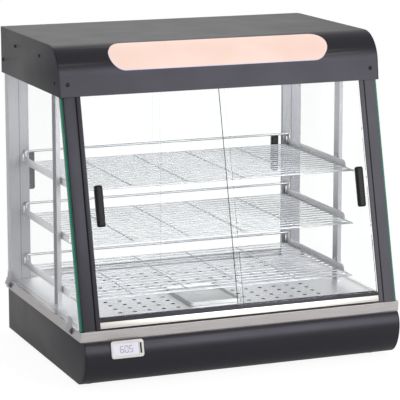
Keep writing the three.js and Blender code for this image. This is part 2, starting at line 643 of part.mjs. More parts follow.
const rocker = () => {
  const halfHeight = SWITCH_HEIGHT / 2 - SWITCH_WALL - GAP - ROCKER_PROUD / 4;
  const halfWidth = SWITCH_WIDTH / 2 - SWITCH_WALL - GAP;
  const profile = [[-ROCKER_DEPTH, -halfHeight / 2], [0, -halfHeight], [ROCKER_PROUD, -halfHeight],
    [ROCKER_PROUD / 2, 0], [ROCKER_PROUD, halfHeight], [0, halfHeight], [-ROCKER_DEPTH, halfHeight / 2]];
  return alongX(profile, -halfWidth, halfWidth);
};
for (const [name, x] of [['power', POWER_SWITCH_X], ['light', LIGHT_SWITCH_X]]) {
  piece(`${name}_switch_body`, switchBody(x), BLACK_PLASTIC);
  const rockerGroup = new THREE.Group();
  rockerGroup.position.set(x, BASE_REAR_Y, CONTROL_LEVEL);
  rockerGroup.rotation.x = THREE.MathUtils.degToRad(ROCKER_TILT);
  caseGroup.add(rockerGroup);
  piece(`${name}_rocker`, rocker(), name === 'power' ? RED_LENS : BLACK_PLASTIC, rockerGroup);
}

const gland = () => {
  const throat = GLAND_THROAT / 2;
  const collar = GLAND_DIAMETER / 2;
  const bore = GLAND_BORE / 2;
  return turnedAlongY([[bore, -GLAND_FLANGE - SHELL], [throat, -GLAND_FLANGE - SHELL], [throat, 0],
    [collar, 0], [collar, GLAND_FLANGE], [throat, GLAND_FLANGE],
    [bore + SHEET, GLAND_LENGTH], [bore, GLAND_LENGTH], [bore, -GLAND_FLANGE - SHELL]], GLAND_SIDES)
    .translate(GLAND_X, BASE_REAR_Y, GLAND_LEVEL);
};
piece('cable_gland', gland(), BLACK_PLASTIC);

// Panel thermometer, tilted with the curved front cover
const meterGroup = new THREE.Group();
meterGroup.position.set(METER_X, METER_Y, METER_LEVEL);
meterGroup.rotation.x = -METER_ANGLE;
caseGroup.add(meterGroup);
const METER_HALF_WIDTH = METER_WIDTH / 2;
const METER_HALF_HEIGHT = METER_HEIGHT / 2;
const METER_SLOT_RIGHT = METER_HALF_WIDTH - METER_SLOT_INSET;
const METER_SLOT_LEFT = METER_SLOT_RIGHT - METER_SLOT_WIDTH;
const screenBox = (inset, reach) => box(
  -METER_HALF_WIDTH + METER_RIM + inset, METER_SLOT_LEFT - METER_SLOT_WIDTH / 2 - inset,
  -METER_BEZEL + METER_SCREEN_STEP - reach, METER_SCREEN_STEP - inset,
  -METER_HALF_HEIGHT + METER_RIM + inset, METER_HALF_HEIGHT - METER_RIM - inset);
const meterBody = () => {
  const faceToFront = new THREE.Matrix4().makeBasis(AXIS_X, AXIS_Z, AXIS_Y.clone().negate());
  const plate = extrude(roundedRect(-METER_HALF_WIDTH, METER_HALF_WIDTH, -METER_HALF_HEIGHT,
    METER_HALF_HEIGHT, METER_CORNER), METER_BEZEL, CORNER_STEPS).applyMatrix4(faceToFront);
  const bodyWidth = METER_HALF_WIDTH - METER_BODY_INSET;
  const bodyHeight = METER_HALF_HEIGHT - METER_BODY_INSET;
  const body = box(-bodyWidth, bodyWidth, -GAP, METER_BODY_DEPTH, -bodyHeight, bodyHeight);
  const slot = box(METER_SLOT_LEFT, METER_SLOT_RIGHT, -METER_BEZEL - CUT, METER_SCREEN_STEP,
    -METER_HALF_HEIGHT + METER_RIM + METER_SLOT_INSET / 2,
    METER_HALF_HEIGHT - METER_RIM - METER_SLOT_INSET / 2);
  return cut(join(plate, body), screenBox(0, CUT), slot);
};
piece('thermometer_body', meterBody(), BEZEL_PLASTIC, meterGroup);
piece('thermometer_screen', screenBox(GAP, 0), SCREEN_PLASTIC, meterGroup);

// The sloping front plane: Y of its face at a height, and slabs that lie in it
const FRONT_SLOPE = (FRONT_HEAD_Y - FRONT_FOOT_Y) / (HOOD_BOTTOM - FLOOR_TOP);
const frontY = (z) => FRONT_FOOT_Y + (z - FLOOR_TOP) * FRONT_SLOPE;
const slab = (x0, x1, near, far, z0, z1) => alongX([
  [frontY(z0) + near, z0], [frontY(z0) + far, z0],
  [frontY(z1) + far, z1], [frontY(z1) + near, z1]], x0, x1);
const sideSlab = (side, nearX, farX, near, far, z0, z1) =>
  slab(...spanX(side, nearX, farX), near, far, z0, z1);

// Side glass and the clips that hold it to the trim
const HEAD_LEVEL = CEILING_LEVEL - GAP;
const FOOT_LEVEL = FLOOR_TOP + GAP;
for (const [name, side] of SIDES) {
  const pane = [[frontY(FOOT_LEVEL) + SIDE_GLASS_SETBACK, FOOT_LEVEL], [DEPTH, FOOT_LEVEL],
    [DEPTH, HEAD_LEVEL], [frontY(HEAD_LEVEL) + SIDE_GLASS_SETBACK, HEAD_LEVEL]];
  piece(`side_glass_${name}`, alongX(pane, ...spanX(side, GLASS_INNER, GLASS_OUTER)), CASE_GLASS);
}

const clipAt = (side, y) => {
  const height = CLIP_TOP - CLIP_BOTTOM;
  const face = WIDTH / 2 + GAP;
  const grip = GLASS_OUTER + GAP;
  const belly = CLIP_BOTTOM + height * CLIP_BELLY_SHARE;
  const waist = CLIP_BOTTOM + height * CLIP_WAIST_SHARE;
  const points = [[face, CLIP_BOTTOM], [face + CLIP_BULGE, belly], [face, waist],
    [grip, CLIP_TOP - CLIP_SHEET], [grip + CLIP_SHEET, CLIP_TOP], [face + CLIP_SHEET, waist],
    [face + CLIP_BULGE + CLIP_SHEET, belly], [face + CLIP_SHEET, CLIP_BOTTOM]];
  return alongY(mirrored(side, points), y, y + CLIP_WIDTH);
};
for (const [name, side] of SIDES) {
  piece(`glass_clip_front_${name}`, clipAt(side, CLIP_FRONT_Y), CHROME);
  piece(`glass_clip_rear_${name}`, clipAt(side, CLIP_REAR_Y), CHROME);
}

// Front posts: a folded channel with a groove down its face
for (const [name, side] of SIDES) {
  const grooveNear = POST_INNER + POST_GROOVE_OFFSET;
  const grooveFar = grooveNear + POST_GROOVE;
  const upright = (near, far, front, back) =>
    sideSlab(side, near, far, front, back, FOOT_LEVEL, HEAD_LEVEL);
  piece(`front_post_${name}`, join(
    upright(POST_INNER, grooveNear, 0, SHELL),
    upright(grooveNear - SHELL, grooveFar + SHELL, SHELL - GAP, POST_GROOVE_DEPTH),
    upright(grooveFar, POST_OUTER, 0, SHELL),
    upright(POST_INNER, POST_INNER + SHELL, 0, POST_DEPTH),
    upright(POST_OUTER - SHELL, POST_OUTER, 0, POST_DEPTH),
  ), BLACK_TRACK);
}

// Sill and sliding-door tracks. A track is a channel with two grooves.
const GROOVE = DOOR_GLASS + 2 * DOOR_PLAY;
const TRACK_DEPTH = 3 * TRACK_WALL + 2 * GROOVE;
const TRACK_HALF = POST_INNER - GAP;
const SILL_TOP = FLOOR_TOP + SILL_HEIGHT;
const TRACK_BOTTOM = SILL_TOP;
const TRACK_TOP = TRACK_BOTTOM + TRACK_HEIGHT;
const slopeSection = (points) => points.map(([depth, z]) => [frontY(z) + depth, z]);
const SILL_BACK = SILL_SETBACK + TRACK_DEPTH;
piece('front_sill', alongX(slopeSection([
  [SILL_SETBACK, FOOT_LEVEL], [SILL_SETBACK + SHEET, FOOT_LEVEL],
  [SILL_SETBACK + SHEET, SILL_TOP - SHEET], [SILL_BACK - SHEET, SILL_TOP - SHEET],
  [SILL_BACK - SHEET, FOOT_LEVEL], [SILL_BACK, FOOT_LEVEL],
  [SILL_BACK, SILL_TOP], [SILL_SETBACK, SILL_TOP]]), -TRACK_HALF, TRACK_HALF), POLISHED);

const trackSection = (near, base, open) => {
  const up = Math.sign(open - base);
  const floor = base + up * TRACK_FLOOR;
  const first = near + TRACK_WALL;
  const middle = first + GROOVE;
  const second = middle + TRACK_WALL;
  const last = second + GROOVE;
  const far = near + TRACK_DEPTH;
  return [[near, base], [far, base], [far, open], [last, open], [last, floor], [second, floor],
    [second, open], [middle, open], [middle, floor], [first, floor], [first, open], [near, open]];
};
const TOP_TRACK_BOTTOM = HEAD_LEVEL - TRACK_HEIGHT;
piece('front_track_bottom', alongX(slopeSection(trackSection(SILL_SETBACK, TRACK_BOTTOM, TRACK_TOP)),
  -TRACK_HALF, TRACK_HALF), BLACK_TRACK);
piece('front_track_top', alongX(slopeSection(trackSection(SILL_SETBACK, HEAD_LEVEL, TOP_TRACK_BOTTOM)
  .reverse()), -TRACK_HALF, TRACK_HALF), BLACK_TRACK);

// Front doors: the right pane runs in the outer groove, the left pane in the inner one
const DOOR_BOTTOM = TRACK_BOTTOM + TRACK_FLOOR + GAP;
const DOOR_TOP = HEAD_LEVEL - TRACK_FLOOR - DOOR_PLAY;
const OUTER_PANE = SILL_SETBACK + TRACK_WALL + DOOR_PLAY;
const INNER_PANE = OUTER_PANE + GROOVE + TRACK_WALL;
const DOOR_FAR = TRACK_HALF - DOOR_END_GAP;
const FRONT_TILT = Math.atan(FRONT_SLOPE);
const HANDLE_LEVEL = (DOOR_BOTTOM + DOOR_TOP) / 2 - HANDLE_DROP;

const handle = () => {
  const radius = HANDLE_WIDTH / 2;
  const bar = new THREE.CapsuleGeometry(radius, HANDLE_LENGTH - HANDLE_WIDTH, HANDLE_CAPS,
    HANDLE_SIDES * 2).rotateX(Math.PI / 2);
  const front = box(-radius - CUT, radius + CUT, -radius - CUT, 0,
    -HANDLE_LENGTH / 2 - CUT, HANDLE_LENGTH / 2 + CUT);
  return common(bar, front).scale(1, HANDLE_DEPTH / radius, 1);
};
const handleGroup = (x, y, z, tilt, turn) => {
  const group = new THREE.Group();
  group.position.set(x, y, z);
  group.rotation.set(-tilt, 0, turn);
  caseGroup.add(group);
  return group;
};
const FRONT_HANDLE_X = DOOR_FAR - HANDLE_INSET_FRONT;
for (const [name, side, pane] of [['left', -1, INNER_PANE], ['right', 1, OUTER_PANE]]) {
  const span = side < 0 ? [-DOOR_FAR, DOOR_LAP] : [-DOOR_LAP, DOOR_FAR];
  piece(`front_door_${name}`, slab(...span, pane, pane + DOOR_GLASS, DOOR_BOTTOM, DOOR_TOP), CASE_GLASS);
  const holder = handleGroup(side * FRONT_HANDLE_X, frontY(HANDLE_LEVEL) + pane - GAP,
    HANDLE_LEVEL, FRONT_TILT, 0);
  piece(`front_handle_${name}`, handle(), BLACK_PLASTIC, holder);
}

// Rear posts and mid uprights, with one slot for each lug of a shelf
const SHELF_NAMES = ['bottom', 'middle', 'top'];
const SHELF_LEVELS = SHELF_NAMES.map((name, i) => SHELF_BOTTOM + i * SHELF_SPACING);
const SLOT_LEVELS = SHELF_LEVELS.map((level) => level + LUG_RISE - GAP);

// A folded channel outline in plan, extruded up and pierced with slots.
const channel = (points, slots) => {
  const strip = extrude(outline(points), HEAD_LEVEL - FOOT_LEVEL).translate(0, 0, FOOT_LEVEL);
  return cut(strip, ...slots);
};
for (const [name, side] of SIDES) {
  const midRear = MID_UPRIGHT_Y + MID_UPRIGHT_DEPTH;
  const midFar = MID_UPRIGHT_X + MID_UPRIGHT_FLANGE;
  const midSlots = SLOT_LEVELS.map((level) => sideBox(side, MID_UPRIGHT_X - CUT,
    MID_UPRIGHT_X + SHEET + GAP, MID_UPRIGHT_Y + (MID_UPRIGHT_DEPTH - SLOT_WIDTH) / 2,
    MID_UPRIGHT_Y + (MID_UPRIGHT_DEPTH + SLOT_WIDTH) / 2, level, level + SLOT_HEIGHT));
  piece(`mid_upright_${name}`, channel(mirrored(side, [
    [MID_UPRIGHT_X, MID_UPRIGHT_Y], [midFar, MID_UPRIGHT_Y], [midFar, MID_UPRIGHT_Y + SHEET],
    [MID_UPRIGHT_X + SHEET, MID_UPRIGHT_Y + SHEET], [MID_UPRIGHT_X + SHEET, midRear - SHEET],
    [midFar, midRear - SHEET], [midFar, midRear], [MID_UPRIGHT_X, midRear]]), midSlots), ALUMINIUM);

  const flangeRear = REAR_POST_Y + REAR_UPRIGHT_DEPTH;
  const postRear = REAR_POST_Y + REAR_POST_DEPTH;
  const inside = REAR_POST_Y + SHEET;
  const rearSlots = SLOT_LEVELS.map((level) => sideBox(side, SHELF_HALF - SLOT_WIDTH / 2,
    SHELF_HALF + SLOT_WIDTH / 2, REAR_POST_Y - CUT, inside + GAP, level, level + SLOT_HEIGHT));
  piece(`rear_post_${name}`, channel(mirrored(side, [
    [REAR_FLANGE_NEAR, REAR_POST_Y], [POST_OUTER, REAR_POST_Y], [POST_OUTER, postRear],
    [POST_OUTER - SHEET, postRear], [POST_OUTER - SHEET, inside], [REAR_POST_NEAR + SHEET, inside],
    [REAR_POST_NEAR + SHEET, postRear], [REAR_POST_NEAR, postRear], [REAR_POST_NEAR, inside],
    [REAR_FLANGE_NEAR + SHEET, inside], [REAR_FLANGE_NEAR + SHEET, flangeRear],
    [REAR_FLANGE_NEAR, flangeRear]]), rearSlots), STEEL);
}

// Rear tracks and rear doors, upright behind the uprights
const REAR_TRACK_Y = REAR_POST_Y + REAR_UPRIGHT_DEPTH + GAP;
const REAR_GROOVE = DOOR_GLASS + DOOR_PLAY;
const REAR_TRACK_HALF = REAR_POST_NEAR - GAP;
const rearTrack = (base, open) => {
  const up = Math.sign(open - base);
  const floor = base + up * TRACK_FLOOR;
  const first = REAR_TRACK_Y + SHEET;
  const middle = first + REAR_GROOVE;
  const second = middle + SHEET;
  const last = second + REAR_GROOVE;
  const far = last + SHEET;
  return [[REAR_TRACK_Y, base], [far, base], [far, open], [last, open], [last, floor],
    [second, floor], [second, open], [middle, open], [middle, floor], [first, floor],
    [first, open], [REAR_TRACK_Y, open]];
};
piece('rear_track_bottom', alongX(rearTrack(FOOT_LEVEL, FOOT_LEVEL + TRACK_HEIGHT),
  -REAR_TRACK_HALF, REAR_TRACK_HALF), BLACK_TRACK);
piece('rear_track_top', alongX(rearTrack(HEAD_LEVEL, TOP_TRACK_BOTTOM).reverse(),
  -REAR_TRACK_HALF, REAR_TRACK_HALF), BLACK_TRACK);
const REAR_DOOR_BOTTOM = FOOT_LEVEL + TRACK_FLOOR + GAP;
const REAR_DOOR_FAR = REAR_TRACK_HALF - DOOR_END_GAP;
const REAR_INNER_PANE = REAR_TRACK_Y + SHEET + DOOR_PLAY / 2;
const REAR_OUTER_PANE = REAR_INNER_PANE + REAR_GROOVE + SHEET;
const REAR_HANDLE_X = REAR_DOOR_FAR - HANDLE_INSET_REAR;
for (const [name, side, pane] of [['left', -1, REAR_INNER_PANE], ['right', 1, REAR_OUTER_PANE]]) {
  const span = side < 0 ? [-REAR_DOOR_FAR, DOOR_LAP] : [-DOOR_LAP, REAR_DOOR_FAR];
  piece(`rear_door_${name}`, box(...span, pane, pane + DOOR_GLASS, REAR_DOOR_BOTTOM, DOOR_TOP), CASE_GLASS);
  const holder = handleGroup(side * REAR_HANDLE_X, pane + DOOR_GLASS + GAP, HANDLE_LEVEL, 0, Math.PI);
  piece(`rear_handle_${name}`, handle(), BLACK_PLASTIC, holder);
}

// Wire shelves: a grid of wires between two side plates, with a rod across the back
const wireGrid = (level) => {
  const grid = box(-SHELF_HALF, SHELF_HALF, SHELF_FRONT_Y, SHELF_REAR_Y,
    level - WIRE / 2, level + WIRE / 2);
  const edgeRear = SHELF_FRONT_Y + 2 * WIRE + EDGE_WIRE_GAP;
  const pitchY = (SHELF_REAR_Y - edgeRear) / (WIRE_COUNT - 1);
  const pitchX = (2 * SHELF_HALF - WIRE) / (CROSS_WIRES + 1);
  const gapRows = [[SHELF_FRONT_Y + WIRE, edgeRear - WIRE]];
  for (let row = 0; row < WIRE_COUNT - 1; row += 1) {
    gapRows.push([edgeRear + row * pitchY, edgeRear + (row + 1) * pitchY - WIRE]);
  }
  const gaps = [];
  for (const [y0, y1] of gapRows) {
    for (let column = 0; column <= CROSS_WIRES; column += 1) {
      const x0 = -SHELF_HALF + WIRE + column * pitchX;
      gaps.push(box(x0, x0 + pitchX - WIRE, y0, y1, level - CUT, level + CUT));
    }
  }
  return cut(grid, ...gaps);
};
const sidePlate = (side, level) => {
  const top = level + PLATE_ABOVE;
  const earTop = level + BACK_ROD_RISE + BACK_ROD / 2;
  const bottom = level - PLATE_BELOW;
  const earY = SHELF_REAR_Y - EAR_WIDTH;
  return alongX([[PLATE_FRONT_Y, bottom], [SHELF_REAR_Y, bottom], [SHELF_REAR_Y, earTop],
    [earY, earTop], [earY, top], [PLATE_FRONT_Y + PLATE_NOSE, top]],
  ...spanX(side, SHELF_HALF - PLATE_SHEET / 2, PLATE_OUTER));
};
const lugs = (side, level) => {
  const low = level + LUG_RISE;
  const midY = MID_UPRIGHT_Y + (MID_UPRIGHT_DEPTH - LUG_WIDTH) / 2;
  return [
    sideBox(side, SHELF_HALF, MID_UPRIGHT_X + LUG_REACH, midY, midY + LUG_WIDTH, low, low + LUG_HEIGHT),
    sideBox(side, SHELF_HALF - PLATE_SHEET / 2, PLATE_OUTER,
      SHELF_REAR_Y - CUT, REAR_POST_Y + LUG_REACH, low, low + LUG_HEIGHT),
  ];
};
const shelf = (level) => {
  const rod = new THREE.CylinderGeometry(BACK_ROD / 2, BACK_ROD / 2, 2 * SHELF_HALF, HEATER_SIDES)
    .rotateZ(Math.PI / 2)
    .translate(0, SHELF_REAR_Y - BACK_ROD_INSET, level + BACK_ROD_RISE);
  return join(wireGrid(level), sidePlate(-1, level), sidePlate(1, level), rod,
    ...lugs(-1, level), ...lugs(1, level));
};
SHELF_NAMES.forEach((name, i) => piece(`shelf_${name}`, shelf(SHELF_LEVELS[i]), CHROME));

// Hood: the cover's outline runs up the front, round the bend and back along the top
const HOOD_TILT = THREE.MathUtils.degToRad(HOOD_FRONT_TILT);
const BEND_Z = HOOD_TOP - HOOD_BEND;
const BEND_Y = HOOD_FRONT_Y + (HOOD_BEND + (BEND_Z - HOOD_BOTTOM) * Math.sin(HOOD_TILT))
  / Math.cos(HOOD_TILT);
const hoodCurve = (inset) => {
  const radius = HOOD_BEND - inset;
  const points = [];
  for (let i = 0; i <= BEND_STEPS; i += 1) {
    const angle = HOOD_TILT + (Math.PI / 2 - HOOD_TILT) * i / BEND_STEPS;
    points.push([BEND_Y - radius * Math.cos(angle), BEND_Z + radius * Math.sin(angle)]);
  }
  return points;
};
const frontEdge = (inset) => [HOOD_FRONT_Y + inset / Math.cos(HOOD_TILT), HOOD_BOTTOM];
const WINDOW_LOW = THREE.MathUtils.degToRad(WINDOW_LOW_ANGLE);
const WINDOW_HIGH = THREE.MathUtils.degToRad(WINDOW_HIGH_ANGLE);
const WINDOW_AIM = (WINDOW_LOW + WINDOW_HIGH) / 2;
const WINDOW_HEIGHT = 2 * HOOD_BEND * Math.sin((WINDOW_HIGH - WINDOW_LOW) / 2);

// A pill-shaped bar that points out through the bend, grown or shrunk by a margin.
const windowBar = (margin) => {
  const half = WINDOW_WIDTH / 2 + margin;
  const high = WINDOW_HEIGHT / 2 + margin;
  const pill = roundedRect(-half, half, -high, high, high);
  const bar = extrude(pill, HOOD_BEND + CUT, WINDOW_END_STEPS);
  const out = new THREE.Vector3(0, -Math.cos(WINDOW_AIM), Math.sin(WINDOW_AIM));
  const up = new THREE.Vector3(0, Math.sin(WINDOW_AIM), Math.cos(WINDOW_AIM));
  const turn = new THREE.Matrix4().makeBasis(AXIS_X, up, out);
  return bar.applyMatrix4(turn).translate(0, BEND_Y, BEND_Z);
};
const hoodCover = () => {
  const rear = HOOD_REAR_Y;
  const drop = HOOD_TOP - HOOD_DROP;
  return alongX([frontEdge(0), frontEdge(SHELL), ...hoodCurve(SHELL),
    [rear - SHELL, HOOD_TOP - SHELL], [rear - SHELL, drop], [rear, drop], [rear, HOOD_TOP],
    ...hoodCurve(0).reverse()].reverse(), -COVER_HALF, COVER_HALF);
};

// Domed screw heads, part of the panels that they hold
const screwHead = () => {
  const profile = [[0, -SHELL / 2], [SCREW_RADIUS, -SHELL / 2], [SCREW_RADIUS, 0]];
  for (let i = 1; i < SCREW_STEPS; i += 1) {
    const angle = Math.PI / 2 * i / SCREW_STEPS;
    profile.push([SCREW_RADIUS * Math.cos(angle), SCREW_HEIGHT * Math.sin(angle)]);
  }
  profile.push([0, SCREW_HEIGHT]);
  return turnedAlongY(profile, SCREW_SIDES);
};
const sideScrew = (side, y, z) =>
  screwHead().rotateZ(side < 0 ? Math.PI / 2 : -Math.PI / 2).translate(side * HOOD_HALF, y, z);
const frontScrew = (side) => screwHead().rotateX(Math.PI - HOOD_TILT).translate(
  side * (COVER_HALF - FRONT_SCREW_INSET),
  HOOD_FRONT_Y + FRONT_SCREW_RISE * Math.tan(HOOD_TILT), HOOD_BOTTOM + FRONT_SCREW_RISE);
piece('hood_cover', join(cut(hoodCover(), windowBar(0)), frontScrew(-1), frontScrew(1)), BLACK_PAINT);

for (const [name, side] of SIDES) {
  const profile = [frontEdge(0), [HOOD_SIDE_REAR_Y, HOOD_BOTTOM], [HOOD_SIDE_REAR_Y, HOOD_TOP],
    ...hoodCurve(0).reverse()];
  const panel = alongX(profile, ...spanX(side, HOOD_HALF - SHELL, HOOD_HALF));
  const heads = SIDE_SCREW_SHARES.map(([back, up]) => sideScrew(side,
    HOOD_FRONT_Y + back * (HOOD_SIDE_REAR_Y - HOOD_FRONT_Y), HOOD_BOTTOM + up * HOOD_HEIGHT));
  piece(`hood_side_${name}`, join(panel, ...heads), BLACK_PAINT);
}

// Ceiling of the cabinet, turned up at the back into the hood's rear wall
const HEADER_Y = HOOD_SIDE_REAR_Y - HEADER_INSET;
piece('ceiling_plate', join(
  box(-COVER_HALF, COVER_HALF, CEILING_FRONT_Y, HEADER_Y, CEILING_LEVEL, CEILING_LEVEL + SHEET),
  box(-COVER_HALF, COVER_HALF, HEADER_Y - SHEET, HEADER_Y, CEILING_LEVEL, HOOD_TOP - SHELL - GAP),
), STEEL);

// Lit window: a lens that fills the cut-out, with a wider flange behind the cover
const bendSlice = (inner, outer) => {
  const arc = (radius) => {
    const points = [];
    for (let i = 0; i <= BEND_STEPS; i += 1) {
      const angle = WINDOW_AIM + Math.PI / 2 * (i / BEND_STEPS - 1 / 2);
      points.push([BEND_Y - radius * Math.cos(angle), BEND_Z + radius * Math.sin(angle)]);
    }
    return points;
  };
  return alongX([...arc(outer), ...arc(inner).reverse()].reverse(), -HOOD_HALF, HOOD_HALF);
};
const WINDOW_SEAT = HOOD_BEND - SHELL - GAP;
piece('light_window', join(
  common(bendSlice(WINDOW_SEAT - WINDOW_SHEET, HOOD_BEND + WINDOW_PROUD), windowBar(-GAP)),
  common(bendSlice(WINDOW_SEAT - WINDOW_FLANGE, WINDOW_SEAT), windowBar(WINDOW_LAP)),
), LIGHT_DIFFUSER);

// Reflector, light strip and driver inside the hood
const REFLECTOR_HALF = WINDOW_WIDTH / 2 + REFLECTOR_LAP;
const REFLECTOR_Y = BEND_Y - REFLECTOR_SETBACK;
const REFLECTOR_TOP = HOOD_TOP - REFLECTOR_HEADROOM;
const CEILING_TOP = CEILING_LEVEL + SHEET;
const LED_STRIP_LEVEL = (CEILING_TOP + REFLECTOR_TOP) / 2;
piece('lamp_reflector', alongX([[REFLECTOR_Y, CEILING_TOP], [REFLECTOR_Y + REFLECTOR_FLANGE, CEILING_TOP],
  [REFLECTOR_Y + REFLECTOR_FLANGE, CEILING_TOP + SHEET], [REFLECTOR_Y + SHEET, CEILING_TOP + SHEET],
  [REFLECTOR_Y + SHEET, REFLECTOR_TOP], [REFLECTOR_Y, REFLECTOR_TOP]],
-REFLECTOR_HALF, REFLECTOR_HALF), WHITE_ENAMEL);
const lightStrip = () => {
  const strip = box(-REFLECTOR_HALF + LED_STRIP_WIDTH, REFLECTOR_HALF - LED_STRIP_WIDTH,
    REFLECTOR_Y - SHEET, REFLECTOR_Y, LED_STRIP_LEVEL - LED_STRIP_WIDTH / 2,
    LED_STRIP_LEVEL + LED_STRIP_WIDTH / 2);
  const pitch = 2 * (REFLECTOR_HALF - 2 * LED_STRIP_WIDTH) / (LED_COUNT - 1);
  const chips = [];
  for (let i = 0; i < LED_COUNT; i += 1) {
    const x = (i - (LED_COUNT - 1) / 2) * pitch;
    chips.push(box(x - LED_SIZE / 2, x + LED_SIZE / 2, REFLECTOR_Y - SHEET - LED_HEIGHT,
      REFLECTOR_Y - SHEET, LED_STRIP_LEVEL - LED_SIZE / 2, LED_STRIP_LEVEL + LED_SIZE / 2));
  }
  return join(strip, ...chips);
};
piece('light_strip', lightStrip(), WHITE_ENAMEL);
const DRIVER_Y = HEADER_Y - DRIVER_REAR_ROOM - DRIVER_DEPTH;
piece('light_driver', box(-DRIVER_WIDTH / 2, DRIVER_WIDTH / 2, DRIVER_Y, DRIVER_Y + DRIVER_DEPTH,
  CEILING_TOP, CEILING_TOP + DRIVER_HEIGHT), WHITE_ENAMEL);

// Set the case on the ground, with the origin under the middle of its outline
const FRONT_REACH = -METER_Y + METER_BEZEL * Math.cos(METER_ANGLE)
  + METER_HEIGHT / 2 * Math.sin(METER_ANGLE);
caseGroup.position.set(0, -(HOOD_REAR_Y - FRONT_REACH) / 2, FOOT_HEIGHT);
caseGroup.updateMatrixWorld(true);
export default caseGroup;
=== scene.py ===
# %% [markdown]
# # A heated display case in Blender
#
# The case is a glazed cabinet on a heated base, as shops use for warm food. Its pieces were
# drawn first as exact solids with real sizes. This lesson dresses them: it keeps the solids
# whose shape is right, gives each a finish, and models again, by hand operators, what a
# solid with flat faces can't show, such as bent sheets, round wires and moulded grips.

# %% Load the frame
import math

import bpy
from mathutils import Euler, Matrix, Vector


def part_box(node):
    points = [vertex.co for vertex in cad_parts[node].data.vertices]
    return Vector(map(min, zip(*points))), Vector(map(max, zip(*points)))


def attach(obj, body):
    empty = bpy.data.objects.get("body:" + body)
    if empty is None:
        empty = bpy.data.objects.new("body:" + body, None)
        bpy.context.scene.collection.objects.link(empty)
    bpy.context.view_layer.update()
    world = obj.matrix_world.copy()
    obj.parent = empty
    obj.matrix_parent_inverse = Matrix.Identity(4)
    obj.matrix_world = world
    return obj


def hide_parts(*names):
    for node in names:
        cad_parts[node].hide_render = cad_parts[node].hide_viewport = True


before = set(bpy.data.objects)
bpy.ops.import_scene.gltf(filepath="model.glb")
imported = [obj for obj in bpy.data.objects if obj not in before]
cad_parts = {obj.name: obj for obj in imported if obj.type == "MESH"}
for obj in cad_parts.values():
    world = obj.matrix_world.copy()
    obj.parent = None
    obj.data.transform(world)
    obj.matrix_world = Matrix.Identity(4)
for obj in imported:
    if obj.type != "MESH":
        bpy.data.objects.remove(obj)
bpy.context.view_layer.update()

# %% [markdown]
# ## The case's own measures
#
# All sizes below are millimetres in the case's own layout: X = 0 is the middle, Y = 0 is the
# front face of the stainless band, Z = 0 is the lower edge of the base. One function turns
# them into metres in the frame, with the band and the base as its two references.

# %% Measures and places
MM = 0.001
band_low, band_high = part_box("trim_frame")
cover_low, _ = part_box("base_front_cover")


def place(x, y, z):
    """A point of the case's layout, in metres in the frame."""
    return Vector((x * MM, band_low.y + y * MM, cover_low.z + z * MM))


SIDES = (("left", -1), ("right", 1))
SHELL = 2.0
SEAM = 0.3
print("band:", [round(v, 4) for v in band_low], [round(v, 4) for v in band_high])

# %% [markdown]
# ## The camera
#
# The view is a long lens from the front left and a little above. A long lens keeps the
# upright edges of the case nearly parallel, as a shop's picture of it does.

# %% Camera
CAMERA_PLACE = (-1532.7, -3596.6, 1121.0)
CAMERA_YAW = 21.837
CAMERA_PITCH = 11.391
FOCAL_PIXELS = 2111
PICTURE_PIXELS = 400
SENSOR_WIDTH = 36

bpy.ops.object.camera_add(location=place(*CAMERA_PLACE))
camera = bpy.context.object
camera.rotation_euler = Euler((math.radians(90 - CAMERA_PITCH), 0, math.radians(-CAMERA_YAW)))
camera.data.sensor_width = SENSOR_WIDTH
camera.data.lens = SENSOR_WIDTH * FOCAL_PIXELS / PICTURE_PIXELS
camera.data.clip_end = 50
camera.data.dof.use_dof = False
bpy.context.scene.camera = camera
print("lens in mm:", round(camera.data.lens, 1))

# %% [markdown]
# ## Helpers for the workbench
#
# Operators act on what is selected, so a helper that makes or joins pieces first clears the
# selection. A finished piece keeps its object at the origin, unturned and unscaled, so its
# place is in its mesh.


# %% Selection and modifier helpers
def edit_mode():
    bpy.ops.object.mode_set(mode="EDIT")


def object_mode():
    bpy.ops.object.mode_set(mode="OBJECT")


def select_mesh():
    bpy.ops.mesh.select_all(action="SELECT")


def select_only(*objects):
    if bpy.context.object and bpy.context.object.mode == "EDIT":
        object_mode()
    bpy.ops.object.select_all(action="DESELECT")
    for item in objects:
        item.select_set(True)
    if objects:
        bpy.context.view_layer.objects.active = objects[0]


def settle(piece, name):
    """Puts the object's place into its mesh and names it."""
    select_only(piece)
    bpy.ops.object.transform_apply(location=True, rotation=True, scale=True)
    piece.name = piece.data.name = name
    return piece


def finish_with(piece, kind, **settings):
    """Adds a modifier, sets it and applies it."""
    select_only(piece)
    modifier = piece.modifiers.new(kind.title(), kind)
    for key, value in settings.items():
        setattr(modifier, key, value)
    bpy.ops.object.modifier_apply(modifier=modifier.name)
    return piece


def soften(piece, width=0.4, segments=2, angle=30):
    """A small round on every sharp edge, as a folded or moulded piece has."""
    return finish_with(piece, "BEVEL", width=width * MM, segments=segments,
                       limit_method="ANGLE", angle_limit=math.radians(angle))


def smooth(piece, angle=35):
    select_only(piece)
    bpy.ops.object.shade_smooth_by_angle(angle=math.radians(angle))
    return piece


def even_gloss(piece):
    """Keeps the shading of large flat faces flat where they run into a bend."""
    return finish_with(piece, "WEIGHTED_NORMAL", keep_sharp=True)


def outward(piece):
    """Merges doubled points and turns all faces outward."""
    select_only(piece)
    edit_mode()
    select_mesh()
    bpy.ops.mesh.remove_doubles(threshold=0.001 * MM)
    bpy.ops.mesh.normals_make_consistent(inside=False)
    object_mode()
    return piece


def joined(name, *pieces):
    select_only(*pieces)
    if len(pieces) > 1:
        bpy.ops.object.join()
    return settle(bpy.context.object, name)


def copied(piece, name, move=(0, 0, 0)):
    """A copy with its own mesh, moved by a step in millimetres."""
    select_only(piece)
    bpy.ops.object.duplicate(linked=False)
    twin = bpy.context.object
    twin.location = Vector(move) * MM
    return settle(twin, name)


